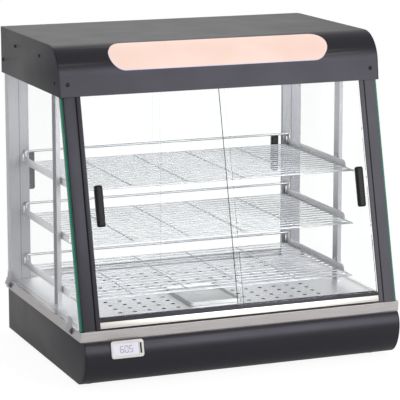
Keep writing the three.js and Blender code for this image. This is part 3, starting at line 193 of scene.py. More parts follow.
def pick(piece, test, kind="VERT"):
    """In edit mode, selects the points, edges or faces whose centre passes a test."""
    bpy.ops.mesh.select_mode(type=kind)
    bpy.ops.mesh.select_all(action="DESELECT")
    object_mode()
    mesh = piece.data
    if kind == "VERT":
        for vertex in mesh.vertices:
            vertex.select = test(vertex.co)
    elif kind == "EDGE":
        for edge in mesh.edges:
            a, b = (mesh.vertices[i].co for i in edge.vertices)
            edge.select = test(a, b)
    else:
        for face in mesh.polygons:
            face.select = test(face)
    edit_mode()


def second_finish(piece, finish, test):
    """Gives the faces that pass a test a finish of their own."""
    piece.data.materials.append(finish)
    piece.active_material_index = len(piece.data.materials) - 1
    select_only(piece)
    edit_mode()
    pick(piece, test, "FACE")
    bpy.ops.object.material_slot_assign()
    object_mode()


def round_edges(piece, test, radius, segments):
    """Rounds off the edges that pass a test."""
    edit_mode()
    pick(piece, test, "EDGE")
    bpy.ops.mesh.bevel(offset=radius * MM, segments=segments, affect="EDGES")
    object_mode()


def hand_over(piece, finish, node=None, body="case"):
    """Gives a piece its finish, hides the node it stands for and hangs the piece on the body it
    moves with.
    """
    piece.data.materials.append(finish)
    if node:
        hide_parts(node)
    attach(piece, body)


# %% [markdown]
# ## Starting shapes
#
# Most of the case is bent sheet. A sheet starts as one point, which is extruded along the
# sheet's section and then across its width, and a Solidify modifier gives it its gauge.
# A flat plate starts the same way, but its outline is filled first.


# %% Blocks, sheets and plates
def cube(name, centre, size):
    """A box with its centre and its three sizes in metres."""
    select_only()
    bpy.ops.mesh.primitive_cube_add(size=1, location=centre, scale=size)
    return settle(bpy.context.object, name)


def block(name, low, high):
    """A box between two corners of the layout."""
    a, b = place(*low), place(*high)
    return cube(name, (a + b) / 2, b - a)


def draw_line(start, steps):
    """Extrudes one point by a row of steps, all in metres, and stays in edit mode."""
    select_only()
    bpy.ops.mesh.primitive_plane_add(size=MM, location=start)
    piece = bpy.context.object
    bpy.ops.object.transform_apply(location=True, rotation=True, scale=True)
    edit_mode()
    bpy.ops.mesh.select_mode(type="VERT")
    select_mesh()
    bpy.ops.mesh.merge(type="CENTER")
    for step in steps:
        bpy.ops.mesh.extrude_vertices_move(TRANSFORM_OT_translate={"value": step})
    return piece


def draw_section(x, points):
    """Draws a line through points of Y and Z, at one X, and stays in edit mode."""
    return draw_line(place(x, *points[0]),
                     [(0, (there[0] - here[0]) * MM, (there[1] - here[1]) * MM)
                      for here, there in zip(points, points[1:])])


def bent_sheet(name, x0, x1, points, gauge, up_hint):
    """A sheet of one gauge. The hint is a direction that its outer face looks to."""
    piece = draw_section(x0, points)
    select_mesh()
    bpy.ops.mesh.extrude_region_move(TRANSFORM_OT_translate={"value": ((x1 - x0) * MM, 0, 0)})
    select_mesh()
    bpy.ops.mesh.normals_make_consistent(inside=False)
    object_mode()
    facing = sum((face.normal * face.area for face in piece.data.polygons), Vector())
    if facing.dot(Vector(up_hint)) < 0:
        edit_mode()
        bpy.ops.mesh.flip_normals()
        object_mode()
    finish_with(piece, "SOLIDIFY", thickness=gauge * MM, offset=-1, use_even_offset=True)
    return settle(piece, name)


def flat_plate(name, x0, x1, points):
    """A plate that fills an outline of Y and Z."""
    piece = draw_section(x0, points)
    select_mesh()
    bpy.ops.mesh.edge_face_add()
    bpy.ops.mesh.extrude_region_move(TRANSFORM_OT_translate={"value": ((x1 - x0) * MM, 0, 0)})
    return outward(settle(piece, name))


def carve(piece, tool, operation="DIFFERENCE"):
    """Cuts a piece with a tool, which is used up."""
    finish_with(piece, "BOOLEAN", operation=operation, object=tool, solver="EXACT")
    bpy.data.objects.remove(tool, do_unlink=True)
    return piece


def arc(centre, radius_y, radius_z, start, end, steps):
    """Points of Y and Z on an ellipse: angle 0 looks to the front and 90 looks up."""
    points = []
    for i in range(steps + 1):
        angle = math.radians(start + (end - start) * i / steps)
        points.append((centre[0] - radius_y * math.cos(angle),
                       centre[1] + radius_z * math.sin(angle)))
    return points


# %% [markdown]
# ## Round bars and rows
#
# Wires, rods and drills are round bars between two places. A row of them is one bar and an
# Array modifier that steps it along, which is applied at once.


# %% Bars, rows and turned pieces
def round_bar(name, start, end, radius, sides=12):
    a, b = place(*start), place(*end)
    select_only()
    bpy.ops.mesh.primitive_cylinder_add(vertices=sides, radius=radius * MM, depth=(b - a).length,
                                        location=(a + b) / 2,
                                        rotation=(b - a).to_track_quat("Z", "Y").to_euler())
    return settle(bpy.context.object, name)


def repeated(piece, count, step):
    return finish_with(piece, "ARRAY", count=count, use_relative_offset=False,
                       use_constant_offset=True, constant_offset_displace=Vector(step) * MM)


def turned(name, profile, steps=32):
    """Spins a profile of radius and height about the upright line through the origin."""
    piece = draw_line((profile[0][0] * MM, 0, profile[0][1] * MM),
                      [((there[0] - here[0]) * MM, 0, (there[1] - here[1]) * MM)
                       for here, there in zip(profile, profile[1:])])
    select_mesh()
    bpy.ops.mesh.spin(steps=steps, angle=math.tau, center=(0, 0, 0), axis=(0, 0, 1))
    return outward(settle(piece, name))


def posed(piece, name, where, turn=Matrix.Identity(4)):
    """Turns a piece that was made at the origin and moves it to a place of the layout."""
    piece.matrix_world = Matrix.Translation(place(*where)) @ turn
    return settle(piece, name)


def to_origin(piece):
    """Moves a piece that was made in the layout so that the layout's origin is the world's."""
    piece.matrix_world = Matrix.Translation(-place(0, 0, 0))
    return settle(piece, piece.name)


# %% [markdown]
# ## Finishes
#
# Each finish is a small node tree on a Principled shader. Its pattern reads Object
# coordinates, so it stays on the piece when the piece slides. Sizes of grain are real: a
# scale of 1000 has features of about a millimetre. Colours are given as seen on screen and
# turned into light values by one function.


# %% Node helpers
def light_value(channel):
    share = channel / 255
    return share / 12.92 if share <= 0.04045 else ((share + 0.055) / 1.055) ** 2.4


def shade(red, green, blue):
    return (light_value(red), light_value(green), light_value(blue), 1)


def scaled(colour, share, extra=0):
    """A colour made darker or lighter."""
    return tuple(min(1, c * share + extra) for c in colour[:3]) + (1,)


def give(node, name, value):
    """Sets an input of a node to a plain value, or links another node's output to it."""
    socket = node.inputs[name]
    if isinstance(value, bpy.types.NodeSocket):
        node.id_data.links.new(value, socket)
    else:
        socket.default_value = value


def new_finish(name, rough, metal=0.0):
    material = bpy.data.materials.new(name)
    material.use_nodes = True
    shader = material.node_tree.nodes["Principled BSDF"]
    give(shader, "Roughness", rough)
    give(shader, "Metallic", metal)
    return material, material.node_tree, shader


def pattern(tree, scale, stretch=(1, 1, 1), detail=3.0):
    """A noise pattern in object space, stretched for brushed or drawn surfaces."""
    where = tree.nodes.new("ShaderNodeTexCoord")
    mapping = tree.nodes.new("ShaderNodeMapping")
    give(mapping, "Scale", stretch)
    noise = tree.nodes.new("ShaderNodeTexNoise")
    give(noise, "Scale", scale)
    give(noise, "Detail", detail)
    give(mapping, "Vector", where.outputs["Object"])
    give(noise, "Vector", mapping.outputs["Vector"])
    return noise.outputs["Fac"]


def blend_colours(tree, factor, first, second):
    ramp = tree.nodes.new("ShaderNodeValToRGB")
    ramp.color_ramp.elements[0].position = 0.35
    ramp.color_ramp.elements[1].position = 0.65
    ramp.color_ramp.elements[0].color = first
    ramp.color_ramp.elements[1].color = second
    give(ramp, "Fac", factor)
    return ramp.outputs["Color"]


def spread(tree, factor, low, high):
    mapped = tree.nodes.new("ShaderNodeMapRange")
    give(mapped, "To Min", low)
    give(mapped, "To Max", high)
    give(mapped, "Value", factor)
    return mapped.outputs["Result"]


def maths(tree, operation, *values):
    """A Math node. Each of its inputs is another node's output or a plain number."""
    node = tree.nodes.new("ShaderNodeMath")
    node.operation = operation
    for index, value in enumerate(values):
        give(node, index, value)
    return node.outputs[0]


def mix_colours(tree, factor, first, second):
    mix = tree.nodes.new("ShaderNodeMix")
    mix.data_type = "RGBA"
    give(mix, "Factor", factor)
    give(mix, "A", first)
    give(mix, "B", second)
    return mix.outputs["Result"]


def mix_shaders(tree, factor, first, second, output):
    """Ends a tree with a mix of two shaders."""
    mix = tree.nodes.new("ShaderNodeMixShader")
    give(mix, "Fac", factor)
    give(mix, 1, first)
    give(mix, 2, second)
    give(tree.nodes[output], "Surface", mix.outputs["Shader"])


def relief(tree, shader, height, strength, distance):
    bump = tree.nodes.new("ShaderNodeBump")
    give(bump, "Strength", strength)
    give(bump, "Distance", distance * MM)
    give(bump, "Height", height)
    give(shader, "Normal", bump.outputs["Normal"])


def worn_edges(tree, colour, bare, amount=0.5):
    """Lightens the sharp edges, where paint and polish wear first."""
    geometry = tree.nodes.new("ShaderNodeNewGeometry")
    edge = tree.nodes.new("ShaderNodeMapRange")
    give(edge, "From Min", 0.52)
    give(edge, "From Max", 0.62)
    give(edge, "To Max", amount)
    give(edge, "Value", geometry.outputs["Pointiness"])
    return mix_colours(tree, edge.outputs["Result"], colour, bare)


# %% [markdown]
# Painted sheet has the fine orange peel of stove paint, a slow drift in its gloss where it
# is wiped, and edges that have gone a little grey. Brushed steel has long fine scratches
# along X. Plated wire is nearly a mirror, with faint spots of dulled plating.


# %% Finishes of metal
def painted_finish(name, colour, rough):
    material, tree, shader = new_finish(name, rough)
    base = blend_colours(tree, pattern(tree, 9), colour, scaled(colour, 1.12))
    give(shader, "Base Color", worn_edges(tree, base, shade(96, 94, 94), 0.35))
    gloss = spread(tree, pattern(tree, 14), rough - 0.05, rough + 0.07)
    give(shader, "Roughness", gloss)
    relief(tree, shader, pattern(tree, 650, detail=1.5), 0.12, 0.12)
    give(shader, "Specular IOR Level", 0.4)
    give(shader, "Specular Tint", (0.86, 0.84, 1, 1))
    return material


def brushed_finish(name, colour, rough, stretch=(0.02, 1, 1), scale=900, grain_depth=0.05):
    material, tree, shader = new_finish(name, rough, 1.0)
    grain = pattern(tree, scale, stretch, 2)
    base = blend_colours(tree, grain, scaled(colour, 0.86), colour)
    give(shader, "Base Color", base)
    give(shader, "Roughness", spread(tree, grain, rough - 0.06, rough + 0.08))
    relief(tree, shader, grain, 0.1, grain_depth)
    give(shader, "Anisotropic", 0.4)
    return material


def plated_finish(name, colour, rough):
    material, tree, shader = new_finish(name, rough, 1.0)
    spots = pattern(tree, 120)
    base = blend_colours(tree, spots, scaled(colour, 0.94), colour)
    give(shader, "Base Color", base)
    give(shader, "Roughness", spread(tree, spots, rough, rough + 0.06))
    relief(tree, shader, pattern(tree, 400), 0.05, 0.05)
    return material


black_paint = painted_finish("black_paint", shade(19, 18, 23), 0.36)
track_black = painted_finish("track_black", shade(29, 28, 34), 0.42)
# Painted shade: a near-black finish for the walls and floors of holes, grooves and steps,
# standing for the shadow that falls in them.
painted_recess_shade = painted_finish("painted_recess_shade", shade(18, 18, 20), 0.8)
stainless = brushed_finish("stainless", shade(207, 202, 202), 0.3)
floor_steel = brushed_finish("floor_steel", shade(236, 235, 238), 0.42, grain_depth=0.01)
pan_steel = brushed_finish("pan_steel", shade(206, 206, 207), 0.36, (1, 0.03, 1))
plate_steel = brushed_finish("plate_steel", shade(212, 211, 215), 0.42, (1, 0.02, 1))
post_steel = brushed_finish("post_steel", shade(163, 162, 168), 0.36, (1, 1, 0.02))
bright_strip = brushed_finish("bright_strip", shade(222, 218, 211), 0.34, (0.004, 1, 1), 700,
                              grain_depth=0.01)
chrome = plated_finish("chrome", shade(190, 191, 196), 0.32)
grey_metal = brushed_finish("grey_metal", shade(190, 189, 194), 0.4, (1, 1, 0.03))
heater_sheath = plated_finish("heater_sheath", shade(92, 84, 80), 0.45)
copper = plated_finish("copper", shade(176, 116, 78), 0.3)


def paint_fold_shade(material, distance, half_width, share):
    """Paints shade as a fine dark upright line, at one distance to either side of the case's
    middle.
    """
    tree = material.node_tree
    shader = tree.nodes["Principled BSDF"]
    plain = shader.inputs["Base Color"].links[0].from_socket
    where = tree.nodes.new("ShaderNodeTexCoord")
    parts = tree.nodes.new("ShaderNodeSeparateXYZ")
    give(parts, "Vector", where.outputs["Object"])
    from_middle = maths(tree, "ABSOLUTE", parts.outputs["X"])
    on_line = maths(tree, "COMPARE", from_middle, distance * MM, half_width * MM)
    dark = (share, share, share, 1)
    give(shader, "Base Color", mix_colours(tree, on_line, plain, dark))


REAR_POST_FOLD = 300.7
# The rear posts get painted shade along the fold between the flange and the post's face, standing
# for the shade at that step.
paint_fold_shade(post_steel, REAR_POST_FOLD, half_width=0.9, share=0.16)
print("metal finishes:", len(bpy.data.materials))

# %% [markdown]
# Moulded plastic has a faint grain and softer gloss. The light window glows, so it gets a
# little emission, warm on its face; its rim glows too, but is painted whiter as a painted
# highlight where the edge catches the window's light. The glass lets light and shadow
# through. One ground edge of a pane is tinted, as one looks along the pane there: green on
# the side panes, and dark on the front pane that shows its edge.


# %% Finishes of plastic and rubber
def moulded_finish(name, colour, rough, grain=0.08, gloss=0.5):
    material, tree, shader = new_finish(name, rough)
    cloud = pattern(tree, 30)
    base = blend_colours(tree, cloud, colour, scaled(colour, 1.1, 0.002))
    give(shader, "Base Color", worn_edges(tree, base, scaled(colour, 1, 0.05)))
    give(shader, "Roughness", spread(tree, cloud, rough - 0.04, rough + 0.08))
    relief(tree, shader, pattern(tree, 1500, detail=1), grain, 0.05)
    give(shader, "Specular IOR Level", gloss)
    return material


black_plastic = moulded_finish("black_plastic", shade(18, 17, 22), 0.4, gloss=0.22)
rubber = moulded_finish("rubber", shade(22, 22, 22), 0.75, 0.3)
silver_plastic = moulded_finish("silver_plastic", shade(214, 212, 207), 0.24)
white_enamel = moulded_finish("white_enamel", shade(232, 230, 226), 0.3)
red_plastic = moulded_finish("red_plastic", shade(168, 30, 22), 0.25)
screen_plastic = moulded_finish("screen_plastic", shade(210, 208, 222), 0.16, 0.02)
digit_grey = moulded_finish("digit_grey", shade(126, 124, 140), 0.4)


def glowing_finish(name, warm, strength):
    material, tree, shader = new_finish(name, 0.5)
    give(shader, "Specular IOR Level", 0.2)
    tone = blend_colours(tree, pattern(tree, 12), warm, scaled(warm, 1.08))
    give(shader, "Base Color", shade(40, 32, 30))
    give(shader, "Emission Color", tone)
    give(shader, "Emission Strength", strength)
    relief(tree, shader, pattern(tree, 900), 0.05, 0.05)
    return material


window_glow = glowing_finish("window_glow", shade(251, 219, 206), 0.97)
# The rim glows like the face, but whiter: a painted highlight where the edge catches the window's
# light.
rim_glow_highlight = glowing_finish("rim_glow_highlight", shade(236, 224, 236), 0.95)


# %% Finish of the glass
def pane_finish(name, axis, edge_tint, edge_clear, ior):
    """Clear glass. The edge that looks to the low end of an axis is tinted, seen from outside."""
    material, tree, shader = new_finish(name, 0.0)
    geometry = tree.nodes.new("ShaderNodeNewGeometry")
    parts = tree.nodes.new("ShaderNodeSeparateXYZ")
    give(parts, "Vector", geometry.outputs["True Normal"])
    looks_low = maths(tree, "LESS_THAN", parts.outputs[axis], -0.5)
    is_edge = maths(tree, "SUBTRACT", looks_low, geometry.outputs["Backfacing"])
    is_edge.node.use_clamp = True
    colour = mix_colours(tree, is_edge, (0.985, 0.995, 0.99, 1), edge_tint)
    give(shader, "Base Color", colour)
    smears = spread(tree, pattern(tree, 7), 0.0, 0.03)
    give(shader, "Roughness", smears)
    clearness = spread(tree, is_edge, 1.0, edge_clear)
    give(shader, "Transmission Weight", clearness)
    give(shader, "IOR", ior)
    light = tree.nodes.new("ShaderNodeLightPath")
    clear = tree.nodes.new("ShaderNodeBsdfTransparent")
    give(clear, "Color", (0.93, 0.96, 0.945, 1))
    mix_shaders(tree, light.outputs["Is Shadow Ray"], shader.outputs["BSDF"],
                clear.outputs["BSDF"], "Material Output")
    return material


edged_glass = pane_finish("edged_glass", "X", shade(56, 60, 64), 0.05, 1.1)
clear_glass = pane_finish("clear_glass", "X", shade(236, 246, 242), 0.95, 1.1)
side_glass = pane_finish("side_glass", "Y", shade(62, 158, 128), 0.2, 1.12)
print("finishes:", len(bpy.data.materials))


# %% [markdown]
# ## Finishes on the solids that stay
#
# A solid that keeps its shape gets its finish, and a fine round on its edges. Its mesh is
# loose triangles, so a Weld modifier joins them before the Bevel modifier works, and its
# own mesh is left alone.


# %% Dress the solids
def dress(node, finish, round_width):
    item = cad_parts[node]
    item.data.materials.clear()
    item.data.materials.append(finish)
    if round_width:
        weld = item.modifiers.new("Weld", "WELD")
        weld.merge_threshold = 0.005 * MM
        bevel = item.modifiers.new("Bevel", "BEVEL")
        bevel.width = round_width * MM
        bevel.segments = 2
        bevel.limit_method = "ANGLE"
        bevel.angle_limit = math.radians(40)
        bevel.use_clamp_overlap = True


KEPT_SOLIDS = [
    (stainless, 0.5, "trim_frame"),
    (stainless, 0.3, "ceiling_plate heater_bracket"),
    (black_paint, 0, "base_chassis"),
    (grey_metal, 0.4, "thermostat_body"),
    (grey_metal, 0.25, "mid_upright_left mid_upright_right"),
    (post_steel, 0.3, "rear_post_left rear_post_right"),
    (plate_steel, 0.25, "rear_track_bottom"),
    (track_black, 0.25, "front_track_top rear_track_top"),
    (copper, 0, "thermostat_bulb"),
    (heater_sheath, 0, "heater_left heater_right"),
    (white_enamel, 0.3, "lamp_reflector"),
    (white_enamel, 0, "light_strip"),
    (white_enamel, 1.0, "light_driver"),
    (red_plastic, 0.4, "power_rocker"),
    (black_plastic, 0.4, "light_rocker power_switch_body light_switch_body"),
    (screen_plastic, 0, "thermometer_screen"),
    (side_glass, 0, "side_glass_left side_glass_right"),
    (clear_glass, 0, "rear_door_left rear_door_right front_door_left"),
    (edged_glass, 0, "front_door_right"),
]
for finish, round_width, names in KEPT_SOLIDS:
    for node in names.split():
        dress(node, finish, round_width)
print("finishes on solids:", len(KEPT_SOLIDS))

# %% [markdown]
# ## The hood
#
# The hood's cover is one sheet, folded round a big radius from the upright front to the flat
# top. Its section is drawn point by point: a short leaning front, the bend as an arc, and
# the top back to a small lip. The lit window is a pill-shaped hole through the bend.

# %% Hood measures
HOOD_HALF = 330.5
HOOD_FRONT = 105.5
HOOD_FOOT = 532.0
HOOD_TOP = 624.0
HOOD_BEND = 62.0
HOOD_TILT = 7.0
HOOD_REAR = 490.0
HOOD_SIDE_REAR = 482.0
HOOD_LIP = 14.0
COVER_HALF = HOOD_HALF - SHELL - SEAM
WINDOW_WIDTH, WINDOW_HEIGHT = 452.0, 62.0
WINDOW_AIM = 43.0
FRONT_SCREW_X, FRONT_SCREW_LEVEL = 313.0, 555.0
SIDE_SCREWS = [(136, 555), (470, 559), (385, 596), (228, 596)]
tilt = math.radians(HOOD_TILT)
bend_z = HOOD_TOP - HOOD_BEND
bend_y = HOOD_FRONT + (HOOD_BEND + (bend_z - HOOD_FOOT) * math.sin(tilt)) / math.cos(tilt)
hood_bend = arc((bend_y, bend_z), HOOD_BEND, HOOD_BEND, HOOD_TILT, 90, 28)


# %% [markdown]
# The panels are held by domed screws with a cross recess. A head is turned from its section,
# the recess is two crossed bars cut out of it, and its copies are joined to the panels.


# %% Screw heads
SCREW_SECTION = [(0, 2.2), (1.4, 2.0), (2.6, 1.5), (3.5, 0.8), (4, 0), (4, -1), (0, -1)]
RECESS_LEVEL, RECESS_HEIGHT = 1.9, 2


def screw_head(where, turn):
    head = turned("screw", SCREW_SECTION, 28)
    for width, length in ((0.9, 4.2), (4.2, 0.9)):
        carve(head, cube("recess", (0, 0, RECESS_LEVEL * MM),
                         (width * MM, length * MM, RECESS_HEIGHT * MM)))
    return posed(head, "screw", where, turn)


# %% Hood cover
def window_tool(margin):
    """A pill-shaped bar that points out through the bend."""
    width, height = WINDOW_WIDTH + 2 * margin, WINDOW_HEIGHT + 2 * margin
    tool = cube("window_tool", (0, 0, 0), (width * MM, height * MM, 2 * HOOD_BEND * MM))
    round_edges(tool, lambda a, b: abs(a.z - b.z) > HOOD_BEND * MM, 0.999 * height / 2, 14)
    aim = math.radians(WINDOW_AIM)
    turn = Matrix.Rotation(math.radians(90 - WINDOW_AIM), 4, "X")
    out = Vector((0, -math.cos(aim), math.sin(aim)))
    tool.matrix_world = Matrix.Translation(place(0, bend_y, bend_z) + out * HOOD_BEND * MM) @ turn
    return settle(tool, "window_tool")


cover_section = [(HOOD_FRONT, HOOD_FOOT), *hood_bend, (HOOD_REAR, HOOD_TOP),
                 (HOOD_REAR, HOOD_TOP - HOOD_LIP)]
hood_cover = bent_sheet("hood_skin", -COVER_HALF, COVER_HALF, cover_section, SHELL, (0, -1, 1))
carve(hood_cover, window_tool(0))
soften(hood_cover, 0.5, 2, 40)
screw_y = HOOD_FRONT + (FRONT_SCREW_LEVEL - HOOD_FOOT) * math.tan(tilt)
to_front = Matrix.Rotation(math.radians(90) - tilt, 4, "X")
front_heads = [screw_head((sign * FRONT_SCREW_X, screw_y, FRONT_SCREW_LEVEL), to_front)
               for _, sign in SIDES]
hood_cover = even_gloss(smooth(joined("hood_skin", hood_cover, *front_heads)))
hand_over(hood_cover, black_paint, "hood_cover")
print("hood cover faces:", len(hood_cover.data.polygons))

# %% [markdown]
# The two hood sides are flat plates with the same outline, so they are cut, not bent. Each
# stands 0.3 mm off the cover's end, which shows as the fine dark seam along the bend.

# %% Hood sides
side_outline = [(HOOD_FRONT, HOOD_FOOT), *hood_bend, (HOOD_SIDE_REAR, HOOD_TOP),
                (HOOD_SIDE_REAR, HOOD_FOOT)]
for side, sign in SIDES:
    near, far = sorted((sign * (HOOD_HALF - SHELL), sign * HOOD_HALF))
    panel = soften(flat_plate(f"hood_cheek_{side}", near, far, side_outline), 0.5, 2, 40)
    to_side = Matrix.Rotation(sign * math.pi / 2, 4, "Y")
    heads = [screw_head((sign * HOOD_HALF, y, z), to_side) for y, z in SIDE_SCREWS]
    panel = smooth(joined(f"hood_cheek_{side}", panel, *heads))
    hand_over(panel, black_paint, f"hood_side_{side}")

# %% [markdown]
# ## The lit window
#
# The window is an opal lens that fills the hole and stands a little proud of the paint. It is
# cut from a curved slab with the same pill-shaped tool, a little smaller, so a thin dark line
# is left all round it. Its rim glows whiter than its face, a painted highlight where the edge
# catches the window's light.

# %% Window lens
LENS_PROUD, LENS_GAUGE, LENS_SPAN, LENS_GAP = 2.2, 6.0, 40, 0.7
lens_bend = HOOD_BEND + LENS_PROUD
lens_section = arc((bend_y, bend_z), lens_bend, lens_bend,
                   WINDOW_AIM - LENS_SPAN, WINDOW_AIM + LENS_SPAN, 28)
lens = bent_sheet("window_lens", -HOOD_HALF, HOOD_HALF, lens_section, LENS_GAUGE, (0, -1, 1))
carve(lens, window_tool(-LENS_GAP), "INTERSECT")
smooth(soften(lens, 0.7, 3, 40))
hand_over(lens, window_glow, "light_window")
axis_y, axis_z = place(0, bend_y, bend_z).yz


def is_rim(face):
    outward_way = Vector((0, face.center.y - axis_y, face.center.z - axis_z)).normalized()
    return face.normal.dot(outward_way) < 0.9


# The rim's faces get the whiter glow, a painted highlight where the edge catches the window's
# light.
second_finish(lens, rim_glow_highlight, is_rim)
print("lens faces:", len(lens.data.polygons))

# %% [markdown]
# ## The base
#
# The front cover of the base bulges like the side of a barrel: an ellipse in section, higher
# below than above. The side panels have the same edge and close the ends.

# %% Base measures
BASE_HALF = 326.0
BASE_TOP = 86.7
BULGE_LEVEL = 60.03
BULGE_REACH = 43.5
TOE = 30.0
FRONT_PROUD = 4.0
TOE_LIP = 18.0
TOP_FLANGE = 16.0
BASE_REAR = 476.0
top_share = (TOE + FRONT_PROUD) / BULGE_REACH
upper_rise = (BASE_TOP - BULGE_LEVEL) / math.sqrt(1 - top_share ** 2)
top_angle = math.degrees(math.asin((BASE_TOP - BULGE_LEVEL) / upper_rise))
upper_curve = arc((TOE, BULGE_LEVEL), BULGE_REACH, upper_rise, top_angle, 0, 14)
lower_curve = arc((TOE, BULGE_LEVEL), BULGE_REACH, BULGE_LEVEL, 0, -90, 20)
base_curve = upper_curve + lower_curve[1:]

# %% Base front cover and sides
BASE_COVER_HALF = BASE_HALF - SHELL - SEAM
base_section = [(TOP_FLANGE, BASE_TOP), *base_curve, (TOE + TOE_LIP, 0)]
base_cover = bent_sheet("base_skin", -BASE_COVER_HALF, BASE_COVER_HALF, base_section, SHELL,
                        (0, -1, 0))

METER_X, METER_LEVEL, METER_TILT = -242.5, 70.5, 14.0
METER_HALF_WIDTH, METER_HALF_HEIGHT = 32.25, 16.5
METER_BODY_INSET, METER_BODY_DEPTH, METER_PLAY, METER_PROUD = 3.0, 16, 0.8, 0.4
body_half_w = METER_HALF_WIDTH - METER_BODY_INSET
body_half_h = METER_HALF_HEIGHT - METER_BODY_INSET
meter_share = (METER_LEVEL - BULGE_LEVEL) / upper_rise
METER_Y = TOE - BULGE_REACH * math.sqrt(1 - meter_share ** 2) - METER_PROUD
meter_turn = Matrix.Rotation(-math.radians(METER_TILT), 4, "X")


def meter_place(piece, name):
    """Tilts a piece that was made flat at the origin, and seats it on the base front."""
    return posed(piece, name, (METER_X, METER_Y, METER_LEVEL), meter_turn)


def meter_block(name, x0, x1, y0, y1, z0, z1):
    """A block in the thermometer's own frame: X right, Y inward, Z up, in millimetres."""
    low, high = Vector((x0, y0, z0)) * MM, Vector((x1, y1, z1)) * MM
    return cube(name, (low + high) / 2, high - low)


half_w, half_h = body_half_w + METER_PLAY, body_half_h + METER_PLAY
hole = meter_block("meter_hole", -half_w, half_w, -METER_BODY_DEPTH, METER_BODY_DEPTH,
                   -half_h, half_h)
carve(base_cover, meter_place(hole, "meter_hole"))
soften(base_cover, 0.5, 2, 40)
even_gloss(smooth(base_cover))
hand_over(base_cover, black_paint, "base_front_cover")

base_outline = [*base_curve, (BASE_REAR, 0), (BASE_REAR, BASE_TOP)]
for side, sign in SIDES:
    near, far = sorted((sign * (BASE_HALF - SHELL), sign * BASE_HALF))
    panel = flat_plate(f"base_cheek_{side}", near, far, base_outline)
    smooth(soften(panel, 0.5, 2, 40))
    hand_over(panel, black_paint, f"base_side_{side}")
print("base pieces made")

# %% [markdown]
# ## The thermometer
#
# The thermometer is a silver frame with a sunk window, tilted with the base front. It is
# made flat at the origin and then seated. The window itself is a solid that stays, and the
# digits are thin strips on it, seven to a digit, as a pocket calculator shows them.

# %% Thermometer frame
METER_CORNER, METER_PLATE = 5, 2
WINDOW_LEFT, WINDOW_RIGHT, WINDOW_HALF = -27.75, 22.85, 12
KEY_LEFT, KEY_RIGHT, KEY_HALF, KEY_GAP = 24.65, 28.25, 10, 0.3
frame_plate = meter_block("meter_frame", -METER_HALF_WIDTH, METER_HALF_WIDTH, -METER_PLATE, 0,
                          -METER_HALF_HEIGHT, METER_HALF_HEIGHT)
round_edges(frame_plate, lambda a, b: abs(a.y - b.y) > MM, METER_CORNER, 8)
carve(frame_plate, meter_block("pocket", WINDOW_LEFT, WINDOW_RIGHT, -7, 5,
                               -WINDOW_HALF, WINDOW_HALF))
carve(frame_plate, meter_block("slot", KEY_LEFT, KEY_RIGHT, -7, 5, -KEY_HALF, KEY_HALF))
soften(frame_plate, 0.5, 3, 40)
meter_back = soften(meter_block("meter_back", -body_half_w, body_half_w, 0.65, METER_BODY_DEPTH,
                                -body_half_h, body_half_h), 0.6)
thermometer = meter_place(joined("thermometer", frame_plate, meter_back), "thermometer")
hand_over(smooth(thermometer), silver_plastic, "thermometer_body")

key = soften(meter_block("meter_button", KEY_LEFT + KEY_GAP, KEY_RIGHT - KEY_GAP, -1.5, 0.6,
                         KEY_GAP - KEY_HALF, KEY_HALF - KEY_GAP), 0.4, 3)
hand_over(meter_place(smooth(key), "meter_button"), black_plastic)

# %% Digits
DIGIT_WIDTH, DIGIT_HEIGHT, STROKE, DIGIT_PITCH, FIRST_DIGIT = 6.0, 12.0, 1.3, 9.0, -11.0
DIGIT_FACE, DIGIT_BACK, STROKE_GAP = -1.3, -1.15, 0.5
STROKES = {"a": (0, 1), "b": (1, 0.5), "c": (1, -0.5), "d": (0, -1), "e": (-1, -0.5),
           "f": (-1, 0.5), "g": (0, 0)}
SHOWN = {"6": "acdefg", "0": "abcdef", "5": "acdfg"}
digit_strips = []
for place_in_row, figure in enumerate("605"):
    middle = FIRST_DIGIT + place_in_row * DIGIT_PITCH
    for stroke in SHOWN[figure]:
        across, up = STROKES[stroke]
        x = middle + across * DIGIT_WIDTH / 2
        z = up * DIGIT_HEIGHT / 2
        half_x = DIGIT_WIDTH / 2 - STROKE_GAP if across == 0 else STROKE / 2
        half_z = STROKE / 2 if across == 0 else DIGIT_HEIGHT / 4 - STROKE_GAP
        digit_strips.append(meter_block("strip", x - half_x, x + half_x, DIGIT_FACE, DIGIT_BACK,
                                        z - half_z, z + half_z))
digit_strips.append(meter_block("point", 2.0, 3.0, DIGIT_FACE, DIGIT_BACK, -6.5, -5.3))
digits = meter_place(joined("meter_digits", *digit_strips), "meter_digits")
hand_over(soften(digits, 0.05, 1), digit_grey)
print("digit strips:", len(digit_strips))

# %% [markdown]
# ## The wire shelves
#
# A shelf is a grid of round wires between two side plates. The wires across lie on a few
# wires from front to back. The plates have a rounded nose, lugs that go into the uprights'
# slots, and an ear at the back that holds a rod, which keeps things from sliding off.

# %% One wire shelf
SHELF_LEVELS = {"bottom": 133.0, "middle": 240.5, "top": 348.0}
SHELF_HALF = 291.5
SHELF_FRONT, SHELF_REAR = 130.0, 455.0
WIRE = 3.0
WIRE_COUNT = 16
EDGE_WIRE_GAP = 5.0
CROSS_WIRES = 4
PLATE_HALF = 1.0
ROD_Y, ROD_RISE, ROD_RADIUS = 450, 24, 2.5
LUG_LOW, LUG_HIGH, LUG_REACH = 4, 10, 298.0
level = SHELF_LEVELS["bottom"]
second_wire = SHELF_FRONT + 2 * WIRE + EDGE_WIRE_GAP
wire_pitch = (SHELF_REAR - second_wire) / (WIRE_COUNT - 1)
cross_pitch = (2 * SHELF_HALF - WIRE) / (CROSS_WIRES + 1)


def long_wire(name, y):
    reach = SHELF_HALF - PLATE_HALF / 2
    return round_bar(name, (-reach, y, level), (reach, y, level), WIRE / 2)


